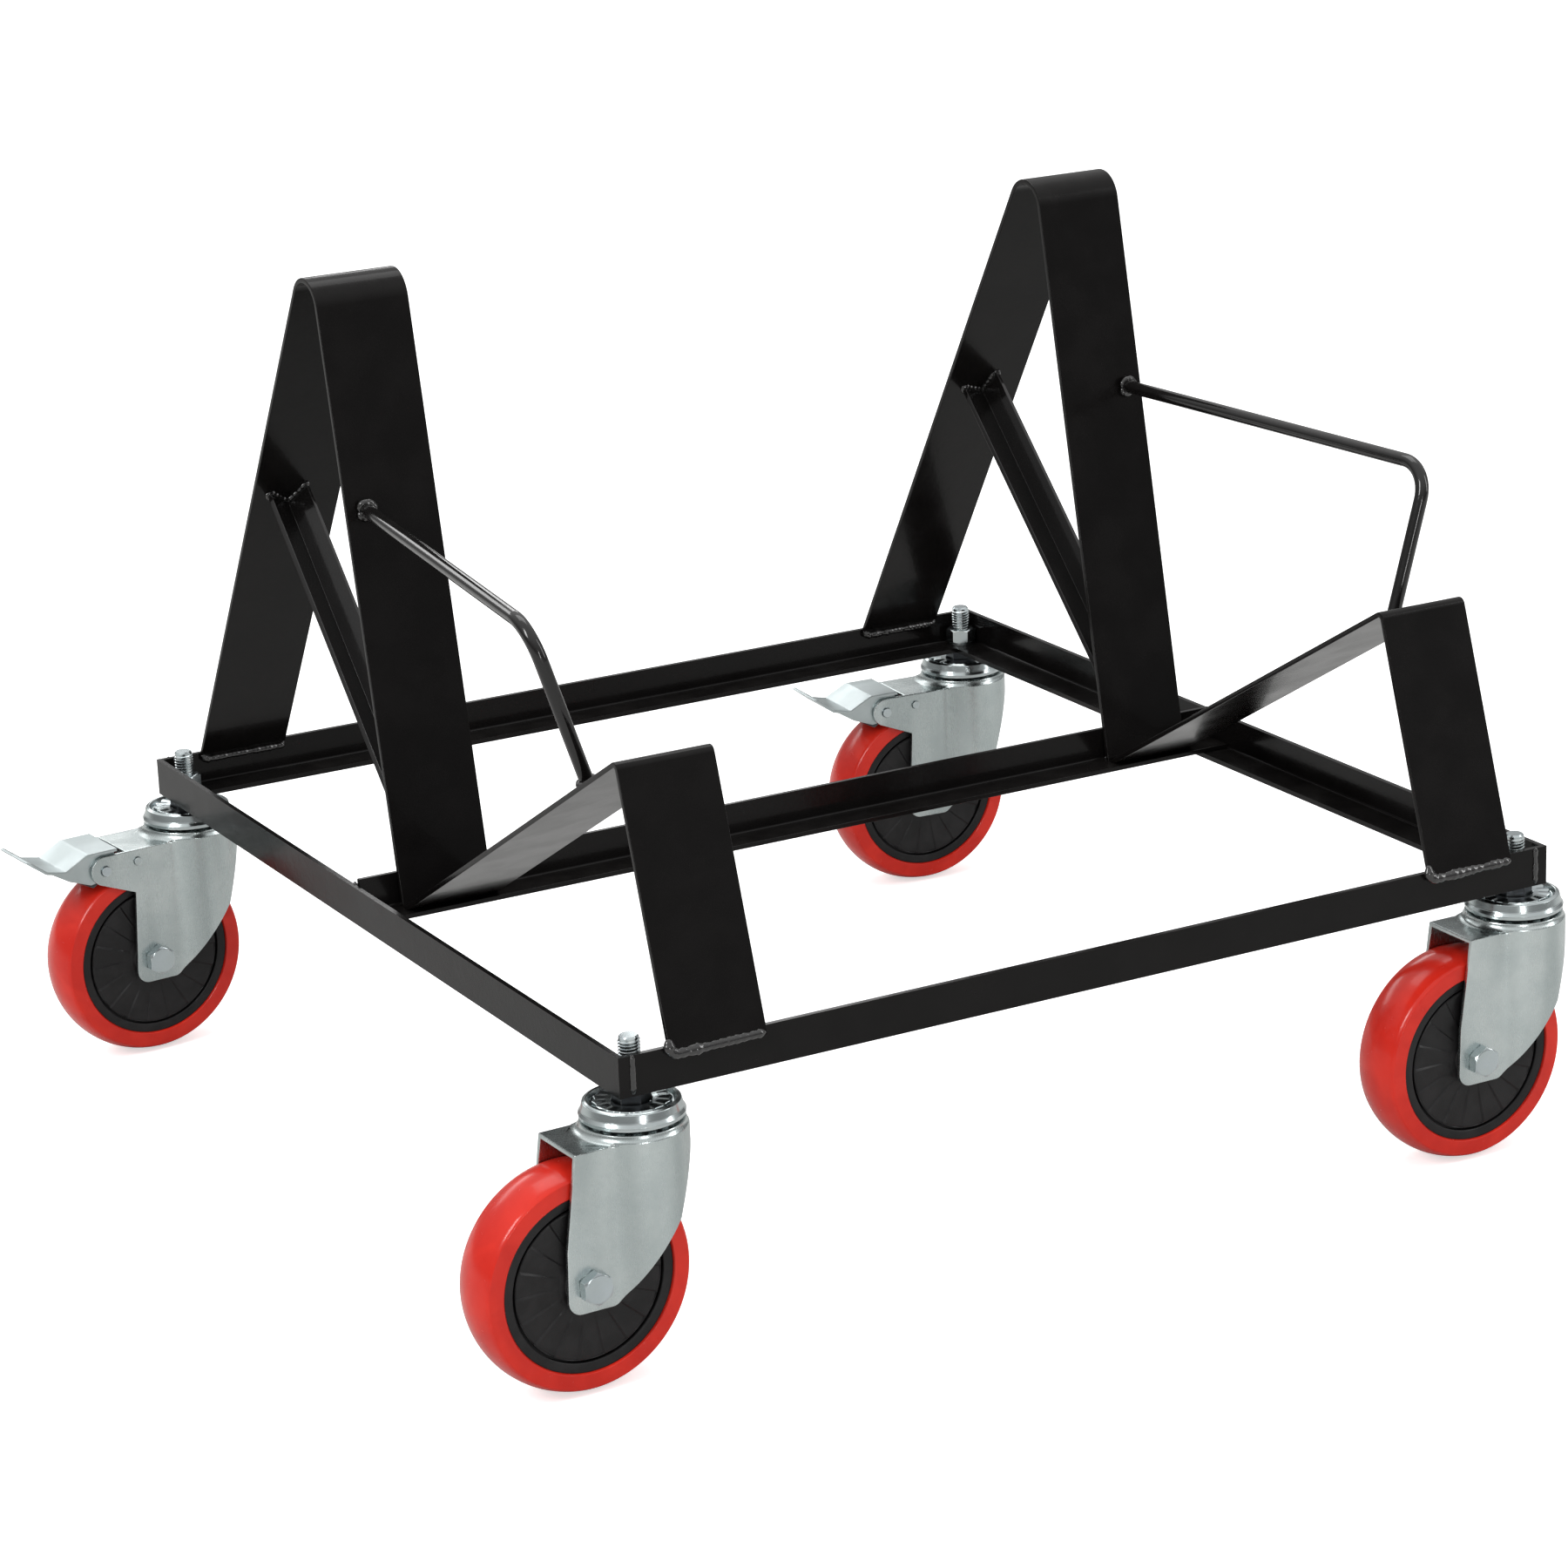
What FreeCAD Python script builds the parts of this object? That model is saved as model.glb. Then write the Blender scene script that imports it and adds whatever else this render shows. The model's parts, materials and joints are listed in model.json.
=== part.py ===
import FreeCAD, Part

import math
import os
import re

import Sketcher

# Stacking-chair dolly: an angle-iron base on four swivel casters, with bent flat-bar supports.
# Millimetres, +Z up, floor at zero, X along the two long rails, -Y to the front of the dolly.

DIMENSIONS = {
    # Where the middle of the base lies from the origin, which is under the middle of the whole object.
    "frame_x": 46.295,
    "frame_y": -1.21,
    # Base of angle iron, laid with its upright leg outside.
    "base_length": 595,
    "base_width": 636,
    "base_top": 179.5,
    "rail_leg": 22.5,
    "rail_wall": 3,
    "rail_root": 1.4,
    "mid_back": 19,
    "mid_end_gap": 1.5,
    # Flat bar bent into inverted V supports.
    "bar_width": 57,
    "bar_wall": 3,
    "bar_outer_x": 269.5,
    "lap": 4,
    "tall_front_y": 12.1,
    "tall_apex_y": 86.8,
    "tall_apex_z": 538.4,
    "tall_rear_y": 313.95,
    "tall_bend": 15,
    "short_front_y": 322.45,
    "short_apex_y": 275.3,
    "short_apex_z": 323.4,
    "short_rear_y": 8.86,
    "short_bend": 1.5,
    # Braces of small angle iron at 45 degrees inside the tall supports.
    "brace_leg": 19,
    "brace_wall": 3,
    "brace_run": 320,
    "brace_high_y": 230,
    "brace_rise": 165,
    "brace_left_x": -246,
    "brace_right_x": 241,
    "brace_left_roll": 37,
    "brace_right_roll": 20,
    # Round guide rods outside the supports.
    "rod_radius": 4,
    "rod_bend": 20,
    "rod_back_x": 257.8,
    "rod_back_y": 52.6,
    "rod_back_z": 387.8,
    "rod_knee_x": 287.5,
    "rod_knee_y": 218.2,
    "rod_knee_z": 383.9,
    "rod_foot_x": 259.4,
    "rod_foot_y": 221,
    "rod_foot_z": 295.2,
    # Threaded stem, nut and washer of a caster.
    "stem_inset": 13,
    "stem_radius": 5.95,
    "stem_hole": 6.5,
    "stem_top": 186,
    "collar_flats": 18,
    "nut_flats": 17,
    "nut_height": 9,
    "nut_bore": 6.02,
    "washer_radius": 8.5,
    "washer_height": 2,
    "pin_radius": 8,
    "pin_foot": 133.2,
    "pin_room": 0.1,
    "rivet_radius": 10.5,
    "rivet_height": 3,
    # Swivel race.
    "cup_radius": 28.7,
    "cup_mouth": 24,
    "cup_skirt": 143,
    "cup_floor": 147,
    "cup_wall": 2,
    "cup_lip": 151.3,
    "ball_radius": 3,
    "ball_pitch": 20.5,
    "ball_count": 16,
    "boss_radius": 28,
    "boss_top": 140.8,
    # Pressed fork.
    "plate_top": 136,
    "fork_wall": 2.5,
    "fork_half": 20,
    "fork_drum": 29.5,
    "fork_blend": 12,
    "fork_front": 30,
    "fork_knee_x": 11.5,
    "fork_knee_z": 90,
    "fork_chest_x": 21,
    "fork_chest_z": 115,
    "fork_rear": 45,
    "fork_heel_x": 52,
    "fork_heel_z": 84,
    "fork_toe": 14.5,
    "toe_front_x": 24.6,
    "toe_rear_x": 53,
    "toe_front_round": 5,
    "toe_rear_round": 8,
    "plate_end": 54,
    "ear_x": 68.6,
    "ear_z": 126.5,
    "ear_radius": 9.5,
    "ear_slope": 20,
    "crotch_x": 49.5,
    "crotch_z": 108.4,
    "trail": 38,
    # Wheel and axle.
    "wheel_radius": 62.5,
    "tread_inner": 49.4,
    "tread_half": 16,
    "tread_side": 58.3,
    "core_half": 15,
    "core_gap": 0.05,
    "groove_outer": 46.3,
    "groove_inner": 44,
    "groove_depth": 3.5,
    "disc_half": 14.2,
    "hub_radius": 13,
    "hub_half": 17.2,
    "bush_radius": 7.5,
    "bush_bore": 5.1,
    "bush_half": 17.45,
    "bore_gap": 0.08,
    "axle_radius": 5,
    "axle_hole": 5.1,
    "head_flats": 16,
    "head_height": 6.4,
    "axle_tail": 29.5,
    "axle_nut_height": 8,
    # Wheel brake.
    "brake_pin": 3,
    "brake_pin_bore": 3.06,
    "brake_pin_half": 21.4,
    "stop_pin": 2.4,
    "stop_pin_bore": 2.45,
    "stop_x": 46.6,
    "stop_z": 128.6,
    "pedal_wall": 2,
    "pedal_half": 19.5,
    "pedal_start": 59.5,
    "pedal_hump_x": 79.5,
    "pedal_hump_z": 137.6,
    "pedal_dip_x": 95,
    "pedal_dip_z": 129.6,
    "pedal_foot_x": 108,
    "pedal_foot_z": 132.4,
    "pedal_tip_x": 121,
    "pedal_tip_z": 142.4,
    "pedal_bend": 5,
    "pedal_round": 7,
    "cheek_outer": 17.2,
    "cheek_wall": 2,
    "cheek_front_x": 61.5,
    "cheek_front_z": 121,
    "cheek_low_x": 78,
    "cheek_low_z": 118.5,
    "cheek_heel_x": 92,
    "cheek_heel_z": 123.8,
    "cheek_tip_x": 105,
    "shoe_front_x": 67,
    "shoe_front_z": 121,
    "shoe_low_x": 75.5,
    "shoe_low_z": 115.6,
    "shoe_heel_x": 90.5,
    "shoe_heel_z": 123.6,
    "shoe_top_z": 127,
    # How far each caster is turned about its stem, in degrees.
    "turn_front_left": 1.7,
    "turn_front_right": 0,
    "turn_rear_left": 5.3,
    "turn_rear_right": -3.3,
}

CORNERS = {
    "front_left": (-1, -1),
    "front_right": (1, -1),
    "rear_left": (-1, 1),
    "rear_right": (1, 1),
}
SIDES = {"left": -1, "right": 1}

doc = FreeCAD.newDocument("Dolly")
sheet = doc.addObject("Spreadsheet::Sheet", "Dims")
for row, (alias, number) in enumerate(DIMENSIONS.items(), start=1):
    sheet.set(f"A{row}", alias)
    sheet.set(f"B{row}", str(number))
    sheet.setAlias(f"B{row}", alias)
doc.recompute()

finished = []


def full(expression):
    """The expression with each dimension's name turned into its cell of the sheet."""
    return re.sub(r"[a-z_]+", lambda m: f"Dims.{m[0]}" if m[0] in DIMENSIONS else m[0], expression)


def size(expression):
    return float(sheet.evalExpression(full(expression)))


def bind(thing, **properties):
    """Binds properties to expressions; a double underscore stands for a point."""
    for name, expression in properties.items():
        thing.setExpression(name.replace("__", "."), full(expression))


def keep(thing, label):
    """Marks an object as a finished piece of the dolly."""
    thing.Label = label
    finished.append(thing)
    return thing


def place(thing, x="0", y="0", z="0", axis=(0, 0, 1), turn=None):
    """Puts a piece at a point of the base, whose middle is at frame_x, frame_y."""
    if turn is not None:
        thing.Placement = FreeCAD.Placement(FreeCAD.Vector(), FreeCAD.Rotation(FreeCAD.Vector(*axis), 1))
        bind(thing, Placement__Rotation__Angle=turn)
    bind(thing, Placement__Base__x=f"frame_x + ({x})", Placement__Base__y=f"frame_y + ({y})")
    bind(thing, Placement__Base__z=z)


def place_on_caster(thing, corner):
    along, across = CORNERS[corner]
    place(
        thing,
        f"{along} * (base_length / 2 - stem_inset)",
        f"{across} * (base_width / 2 - stem_inset)",
        turn=f"turn_{corner}",
    )


# Sketches and features.


def start_body(name):
    return doc.addObject("PartDesign::Body", name)


def start_sketch(body, role, x="0", y="0", z="0"):
    """A sketch on one of the body's own planes, moved by x, y and z along the plane's axes."""
    sketch = body.newObject("Sketcher::SketchObject", f"{body.Name}_sketch")
    plane = next(item for item in body.Origin.OriginFeatures if item.Role == f"{role}_Plane")
    sketch.AttachmentSupport = (plane, [""])
    sketch.MapMode = "FlatFace"
    bind(sketch, AttachmentOffset__Base__x=x, AttachmentOffset__Base__y=y, AttachmentOffset__Base__z=z)
    return sketch


def pin_point(sketch, curve, end, x, y):
    """Fixes a point of a sketch at x and y, given as expressions."""
    for kind, axis, expression in (("DistanceX", -2, x), ("DistanceY", -1, y)):
        if size(expression) == 0:
            sketch.addConstraint(Sketcher.Constraint("PointOnObject", curve, end, axis))
            continue
        constraint = Sketcher.Constraint(kind, -1, 1, curve, end, size(expression))
        number = sketch.addConstraint(constraint)
        sketch.renameConstraint(number, f"{kind}_{curve}_{end}")
        bind(sketch, **{f"Constraints__{kind}_{curve}_{end}": expression})


def add_outline(sketch, corners):
    """A closed outline of straight lines through corners given as pairs of expressions."""
    first = sketch.GeometryCount
    points = [FreeCAD.Vector(size(x), size(y), 0) for x, y in corners]
    count = len(points)
    for index, point in enumerate(points):
        sketch.addGeometry(Part.LineSegment(point, points[(index + 1) % count]))
    for index in range(count):
        follower = first + (index + 1) % count
        sketch.addConstraint(Sketcher.Constraint("Coincident", first + index, 2, follower, 1))
    for index, (x, y) in enumerate(corners):
        pin_point(sketch, first + index, 1, x, y)


def add_circle(sketch, x, y, radius):
    centre = FreeCAD.Vector(size(x), size(y), 0)
    curve = sketch.addGeometry(Part.Circle(centre, FreeCAD.Vector(0, 0, 1), size(radius)))
    pin_point(sketch, curve, 3, x, y)
    number = sketch.addConstraint(Sketcher.Constraint("Radius", curve, size(radius)))
    sketch.renameConstraint(number, f"Radius_{curve}")
    bind(sketch, **{f"Constraints__Radius_{curve}": radius})


def pad(body, sketch, length, symmetric=False, flipped=False):
    feature = body.newObject("PartDesign::Pad", f"{body.Name}_pad")
    feature.Profile = sketch
    feature.SideType = "Symmetric" if symmetric else "One side"
    feature.Reversed = flipped
    bind(feature, Length=length)
    doc.recompute()
    return feature


def pocket(body, sketch, length, symmetric=False, flipped=False):
    """Cuts the sketch out of the body, and makes sure that something was cut."""
    before = body.Shape.Volume
    feature = body.newObject("PartDesign::Pocket", f"{body.Name}_pocket")
    feature.Profile = sketch
    feature.SideType = "Symmetric" if symmetric else "One side"
    feature.Reversed = flipped
    bind(feature, Length=length)
    doc.recompute()
    if body.Shape.Volume >= before:
        raise RuntimeError(f"{feature.Name} cuts nothing")
    return feature


def revolve(body, sketch):
    feature = body.newObject("PartDesign::Revolution", f"{body.Name}_turned")
    feature.Profile = sketch
    feature.ReferenceAxis = (sketch, ["V_Axis"])
    feature.Angle = 360
    doc.recompute()
    return feature


def dress(body, kind, chosen, **properties):
    """A PartDesign Fillet or Chamfer on the edges for which chosen(edge) is true."""
    base = body.Tip
    names = [f"Edge{n}" for n, edge in enumerate(base.Shape.Edges, start=1) if chosen(edge)]
    feature = body.newObject(f"PartDesign::{kind}", f"{body.Name}_{kind.lower()}")
    feature.Base = (base, names)
    bind(feature, **properties)
    doc.recompute()
    return feature


def near(edge, x=None, y=None, z=None, slack=0.05):
    """Whether every point of the edge that is looked at lies at x, y and z, where given."""
    low, high = edge.ParameterRange
    for part in (0.1, 0.5, 0.9):
        point = edge.valueAt(low + (high - low) * part)
        for have, want in ((point.x, x), (point.y, y), (point.z, z)):
            if want is not None and abs(have - want) > slack:
                return False
    return True


# Part primitives.


def box(name, x, y, z, length, width, height):
    item = doc.addObject("Part::Box", name)
    bind(item, Length=length, Width=width, Height=height)
    bind(item, Placement__Base__x=x, Placement__Base__y=y, Placement__Base__z=z)
    return item


def cylinder(name, radius, height, x="0", y="0", z="0", along_y=False):
    item = doc.addObject("Part::Cylinder", name)
    if along_y:
        item.Placement.Rotation = FreeCAD.Rotation(FreeCAD.Vector(1, 0, 0), -90)
    bind(item, Radius=radius, Height=height)
    bind(item, Placement__Base__x=x, Placement__Base__y=y, Placement__Base__z=z)
    return item


def hexagon(name, flats, height, x="0", y="0", z="0", along_y=False):
    item = doc.addObject("Part::Prism", name)
    item.Polygon = 6
    if along_y:
        item.Placement.Rotation = FreeCAD.Rotation(FreeCAD.Vector(1, 0, 0), -90)
    bind(item, Circumradius=f"{flats} / sqrt(3)", Height=height)
    bind(item, Placement__Base__x=x, Placement__Base__y=y, Placement__Base__z=z)
    return item


def join(name, items):
    feature = doc.addObject("Part::MultiFuse", name)
    feature.Shapes = items
    return feature


def cut(name, base, tool):
    feature = doc.addObject("Part::Cut", name)
    feature.Base = base
    feature.Tool = tool
    return feature


def group(name, items):
    feature = doc.addObject("Part::Compound", name)
    feature.Links = items
    return feature


# Base frame.


def rail_section(body, role):
    """The L section, with its outer corner at the origin and both legs positive."""
    sketch = start_sketch(body, role)
    corners = [
        ("0", "0"),
        ("rail_leg", "0"),
        ("rail_leg", "rail_wall"),
        ("rail_wall", "rail_wall"),
        ("rail_wall", "rail_leg"),
        ("0", "rail_leg"),
    ]
    add_outline(sketch, corners)
    return sketch


def make_cross_rail(label, length, stem_holes):
    """A rail along X with its upright leg on the -Y side; the middle one has no stem holes."""
    body = start_body(label)
    pad(body, rail_section(body, "YZ"), length, symmetric=True)
    root = size("rail_wall")
    dress(body, "Fillet", lambda edge: near(edge, y=root, z=root), Radius="rail_root")
    if stem_holes:
        sketch = start_sketch(body, "XY", z="rail_wall * 2")
        for sign in (-1, 1):
            add_circle(sketch, f"{sign} * (base_length / 2 - stem_inset)", "stem_inset", "stem_hole")
        pocket(body, sketch, "rail_wall * 3")
        sketch = start_sketch(body, "XY", z="rail_leg + 1")
        for sign in (-1, 1):
            inner = f"{sign} * (base_length / 2 - rail_wall)"
            outer = f"{sign} * (base_length / 2 + 1)"
            edge = "rail_leg + 1"
            corners = [(inner, "rail_wall"), (outer, "rail_wall"), (outer, edge), (inner, edge)]
            add_outline(sketch, corners)
        pocket(body, sketch, "rail_leg + 2")
    return keep(body, label)


def make_side_rail(label):
    """A rail along Y, upright leg on the -X side, coped at both ends over the cross rails."""
    body = start_body(label)
    pad(body, rail_section(body, "XZ"), "base_width - 2 * rail_wall", symmetric=True)
    root = size("rail_wall")
    dress(body, "Fillet", lambda edge: near(edge, x=root, z=root), Radius="rail_root")
    sketch = start_sketch(body, "XY", z="rail_leg + 1")
    for sign in (-1, 1):
        near_end = f"{sign} * (base_width / 2 - rail_leg)"
        far_end = f"{sign} * base_width / 2"
        edge = "rail_leg + 1"
        corners = [("rail_wall", near_end), (edge, near_end), (edge, far_end), ("rail_wall", far_end)]
        add_outline(sketch, corners)
    pocket(body, sketch, "rail_leg + 2")
    return keep(body, label)


def make_base():
    bottom = "base_top - rail_leg"
    front = make_cross_rail("front_rail", "base_length", True)
    place(front, y="-base_width / 2", z=bottom)
    rear = make_cross_rail("rear_rail", "base_length", True)
    place(rear, y="base_width / 2", z=bottom, turn="180")
    left = make_side_rail("left_rail")
    place(left, x="-base_length / 2", z=bottom)
    right = make_side_rail("right_rail")
    place(right, x="base_length / 2", z=bottom, turn="180")
    middle = make_cross_rail("mid_rail", "base_length - 2 * (rail_wall + mid_end_gap)", False)
    place(middle, y="mid_back", z=f"{bottom} + rail_wall", turn="180")


# Supports of bent flat bar.


def offset_line(start, end, distance):
    """The two points moved sideways, to the left of the way from start to end."""
    way = (end - start).normalize()
    side = FreeCAD.Vector(-way.y, way.x, 0) * distance
    return start + side, end + side


def crossing(first, second):
    """Where two lines in a plane, each given by two points, cross."""
    (p, q), (r, s) = first, second
    d, e = q - p, s - r
    share = ((r.x - p.x) * e.y - (r.y - p.y) * e.x) / (d.x * e.y - d.y * e.x)
    return p + d * share


def add_bent_strip(sketch, corners, side):
    """An inverted V of even thickness: corners are its front foot, apex and rear foot on one face,
    and side is 1 where the bar lies outside that face and -1 where it lies inside."""
    front, apex, rear = [FreeCAD.Vector(size(y), size(z), 0) for y, z in corners]
    thick = side * size("bar_wall")
    rise = offset_line(front, apex, thick)
    fall = offset_line(apex, rear, thick)
    level = FreeCAD.Vector(1, 0, 0)
    points = [
        front,
        apex,
        rear,
        crossing(fall, (rear, rear + level)),
        crossing(rise, fall),
        crossing(rise, (front, front + level)),
    ]
    for index, point in enumerate(points):
        sketch.addGeometry(Part.LineSegment(point, points[(index + 1) % 6]))
    for index in range(6):
        sketch.addConstraint(Sketcher.Constraint("Coincident", index, 2, (index + 1) % 6, 1))
    for index, (y, z) in enumerate(corners):
        pin_point(sketch, index, 1, y, z)
    sketch.addConstraint(Sketcher.Constraint("Horizontal", 2))
    sketch.addConstraint(Sketcher.Constraint("Horizontal", 5))
    sketch.addConstraint(Sketcher.Constraint("Parallel", 0, 4))
    sketch.addConstraint(Sketcher.Constraint("Parallel", 1, 3))
    for line in (0, 1):
        number = sketch.addConstraint(Sketcher.Constraint("Distance", 4, 1, line, size("bar_wall")))
        sketch.renameConstraint(number, f"Wall_{line}")
        bind(sketch, **{f"Constraints__Wall_{line}": "bar_wall"})


def bend_apex(body, inner):
    """Rounds the apex, with the bar's thickness between the inner and the outer radius."""
    across = [e for e in body.Tip.Shape.Edges if abs(e.tangentAt(e.FirstParameter).x) > 0.99]
    highest = sorted(across, key=lambda e: e.CenterOfMass.z)[-2:]
    for edge, radius in zip(highest, (inner, f"{inner} + bar_wall")):
        height = edge.CenterOfMass.z
        dress(body, "Fillet", lambda e, level=height: near(e, z=level), Radius=radius)


def place_support(body, side):
    place(body, x=f"{SIDES[side]} * (bar_outer_x - bar_width / 2)")


def make_tall_support(side):
    """Stands from the middle rail's channel over a round apex to the inside of the rear rail."""
    body = start_body(f"tall_band_{side}")
    sketch = start_sketch(body, "YZ")
    foot = "base_top - rail_leg + 2 * rail_wall"
    rear_foot = ("tall_rear_y", "base_top - lap")
    corners = [("tall_front_y", foot), ("tall_apex_y", "tall_apex_z"), rear_foot]
    add_bent_strip(sketch, corners, 1)
    pad(body, sketch, "bar_width", symmetric=True)
    bend_apex(body, "tall_bend")
    sketch = start_sketch(body, "YZ")
    wall, top = "base_width / 2 - rail_wall", "base_top"
    outside = "base_width / 2 + lap"
    low = "base_top - 3 * lap"
    add_outline(sketch, [(wall, low), (outside, low), (outside, top), (wall, top)])
    pocket(body, sketch, "bar_width + 2", symmetric=True)
    place_support(body, side)
    return keep(body, body.Name)


def make_short_support(side):
    """Laps over the outside of the front rail, with a sharp apex and a long slope to the rear."""
    body = start_body(f"short_band_{side}")
    sketch = start_sketch(body, "YZ")
    corners = [
        ("-short_front_y", "base_top - lap"),
        ("-short_apex_y", "short_apex_z"),
        ("short_rear_y", "base_top - rail_leg + 2 * rail_wall"),
    ]
    add_bent_strip(sketch, corners, -1)
    pad(body, sketch, "bar_width", symmetric=True)
    bend_apex(body, "short_bend")
    place_support(body, side)
    return keep(body, body.Name)


def make_brace(side):
    """Small angle iron, hollow side up and forward, cut to fit between the tall support's legs."""
    name = f"brace_{side}"
    leg, wall = "brace_leg", "brace_wall"
    across = box(f"{name}_flat", "-(brace_leg - brace_wall)", f"-{wall}", "0", leg, wall, "brace_run")
    upright = box(f"{name}_web", "0", f"-{wall}", "0", wall, leg, "brace_run")
    angle = join(f"{name}_angle", [across, upright])
    descent = FreeCAD.Rotation(FreeCAD.Vector(1, 0, 0), 135)
    roll = FreeCAD.Rotation(FreeCAD.Vector(0, 0, 1), -size(f"brace_{side}_roll"))
    angle.Placement.Rotation = descent * roll
    bind(angle, Placement__Base__x=f"brace_{side}_x", Placement__Base__y="brace_high_y")
    bind(angle, Placement__Base__z="brace_high_y + brace_rise")
    window = start_body(f"{name}_window")
    sketch = start_sketch(window, "YZ")
    shelf = "base_top + rail_wall"
    corners = [
        ("mid_back - rail_wall", shelf),
        ("mid_back + bar_width", shelf),
        ("tall_rear_y", "base_top - lap"),
        ("tall_apex_y", "tall_apex_z"),
    ]
    add_outline(sketch, corners)
    pad(window, sketch, "base_length", symmetric=True)
    brace = doc.addObject("Part::Common", name)
    brace.Base = angle
    brace.Tool = window
    place(brace)
    return keep(brace, name)


def make_guide_rod(side):
    """Round bar from the tall support's front leg, over a knee, down to the short support."""
    sign = SIDES[side]
    back, knee, foot = [
        FreeCAD.Vector(sign * size(f"rod_{name}_x"), across * size(f"rod_{name}_y"), size(f"rod_{name}_z"))
        for name, across in (("back", 1), ("knee", -1), ("foot", -1))
    ]
    radius, bend = size("rod_radius"), size("rod_bend")
    inward = (back - knee).normalize()
    downward = (foot - knee).normalize()
    half_angle = inward.getAngle(downward) / 2
    first = knee + inward * (bend / math.tan(half_angle))
    last = knee + downward * (bend / math.tan(half_angle))
    middle_way = (inward + downward).normalize()
    crown = knee + middle_way * (bend / math.sin(half_angle) - bend)
    arc = Part.Arc(first, crown, last).toShape()
    path = Part.Wire([Part.makeLine(back, first), arc, Part.makeLine(last, foot)])
    section = Part.Wire([Part.makeCircle(radius, back, inward)])
    rod = doc.addObject("Part::Feature", f"guide_rod_{side}")
    rod.Shape = path.makePipeShell([section], True, False)
    expected = math.pi * radius**2 * path.Length
    if abs(rod.Shape.Volume - expected) > 0.01 * expected:
        raise RuntimeError("the guide rod's volume is wrong")
    place(rod)
    return keep(rod, rod.Name)


# Casters: each piece is built round the stem's axis, and then put at its corner.


def make_stem(corner):
    name = f"stem_{corner}"
    rivet_foot = "pin_foot - rivet_height"
    bottom = "base_top - rail_leg"
    floor = "cup_floor + cup_wall"
    parts = [
        cylinder(f"{name}_thread", "stem_radius", f"stem_top - ({bottom})", z=bottom),
        hexagon(f"{name}_collar", "collar_flats", f"{bottom} - ({floor})", z=floor),
        cylinder(f"{name}_pin", "pin_radius", f"{floor} - pin_foot", z="pin_foot"),
        cylinder(f"{name}_rivet", "rivet_radius", "rivet_height", z=rivet_foot),
    ]
    stem = join(name, parts)
    place_on_caster(stem, corner)
    return keep(stem, name)


def make_cup(corner):
    """The fixed race: an open dish above, and a skirt over the balls below."""
    body = start_body(f"cup_{corner}")
    sketch = start_sketch(body, "XZ")
    bore = "pin_radius + bore_gap"
    floor = "cup_floor + cup_wall"
    corners = [
        (bore, "cup_floor"),
        ("cup_radius - 1.2 - cup_wall", "cup_floor"),
        ("cup_radius - 1.2 - cup_wall", "cup_skirt"),
        ("cup_radius - 1.2", "cup_skirt"),
        ("cup_radius - 0.3", "cup_skirt + 1.2"),
        ("cup_radius", "cup_skirt + 2.8"),
        ("cup_radius - 0.2", "cup_skirt + 4.6"),
        ("cup_radius - 1.1", "cup_skirt + 6.5"),
        ("cup_radius - 2.5", "cup_lip - 0.5"),
        ("cup_mouth + 1.2", "cup_lip"),
        ("cup_mouth", "cup_lip - 0.6"),
        ("cup_mouth - cup_wall", floor),
        (bore, floor),
    ]
    add_outline(sketch, corners)
    revolve(body, sketch)
    place_on_caster(body, corner)
    return keep(body, body.Name)


def make_balls():
    """Every caster's ring of balls between the cup and the fork's boss."""
    rings = []
    for corner in CORNERS:
        balls = []
        for step in range(DIMENSIONS["ball_count"]):
            ball = doc.addObject("Part::Sphere", f"ball_{corner}_{step}")
            bind(ball, Radius="ball_radius")
            angle = f"({step} * 360 / ball_count)"
            bind(ball, Placement__Base__x=f"ball_pitch * cos{angle}")
            bind(ball, Placement__Base__y=f"ball_pitch * sin{angle}")
            bind(ball, Placement__Base__z="(boss_top + cup_floor) / 2")
            balls.append(ball)
        ring = group(f"ball_ring_{corner}", balls)
        place_on_caster(ring, corner)
        rings.append(ring)
    return keep(group("swivel_balls", rings), "swivel_balls")


def make_stem_fasteners():
    """The nuts on the four stems, and the washers under them."""
    nuts = []
    washers = []
    shelf = "base_top - rail_leg + rail_wall"
    for corner in CORNERS:
        bolt_room = cylinder(f"nut_bore_{corner}", "nut_bore", "nut_height * 2", z=shelf)
        blank = hexagon(f"nut_blank_{corner}", "nut_flats", "nut_height", z=f"{shelf} + washer_height")
        nut = cut(f"nut_{corner}", blank, bolt_room)
        place_on_caster(nut, corner)
        nuts.append(nut)
        ring_room = cylinder(f"washer_bore_{corner}", "nut_bore + 0.1", "nut_height", z=shelf)
        disc = cylinder(f"washer_disc_{corner}", "washer_radius", "washer_height", z=shelf)
        washer = cut(f"washer_{corner}", disc, ring_room)
        place_on_caster(washer, corner)
        washers.append(washer)
    keep(group("stem_nuts", nuts), "stem_nuts")
    keep(group("stem_washers", washers), "stem_washers")


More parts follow.
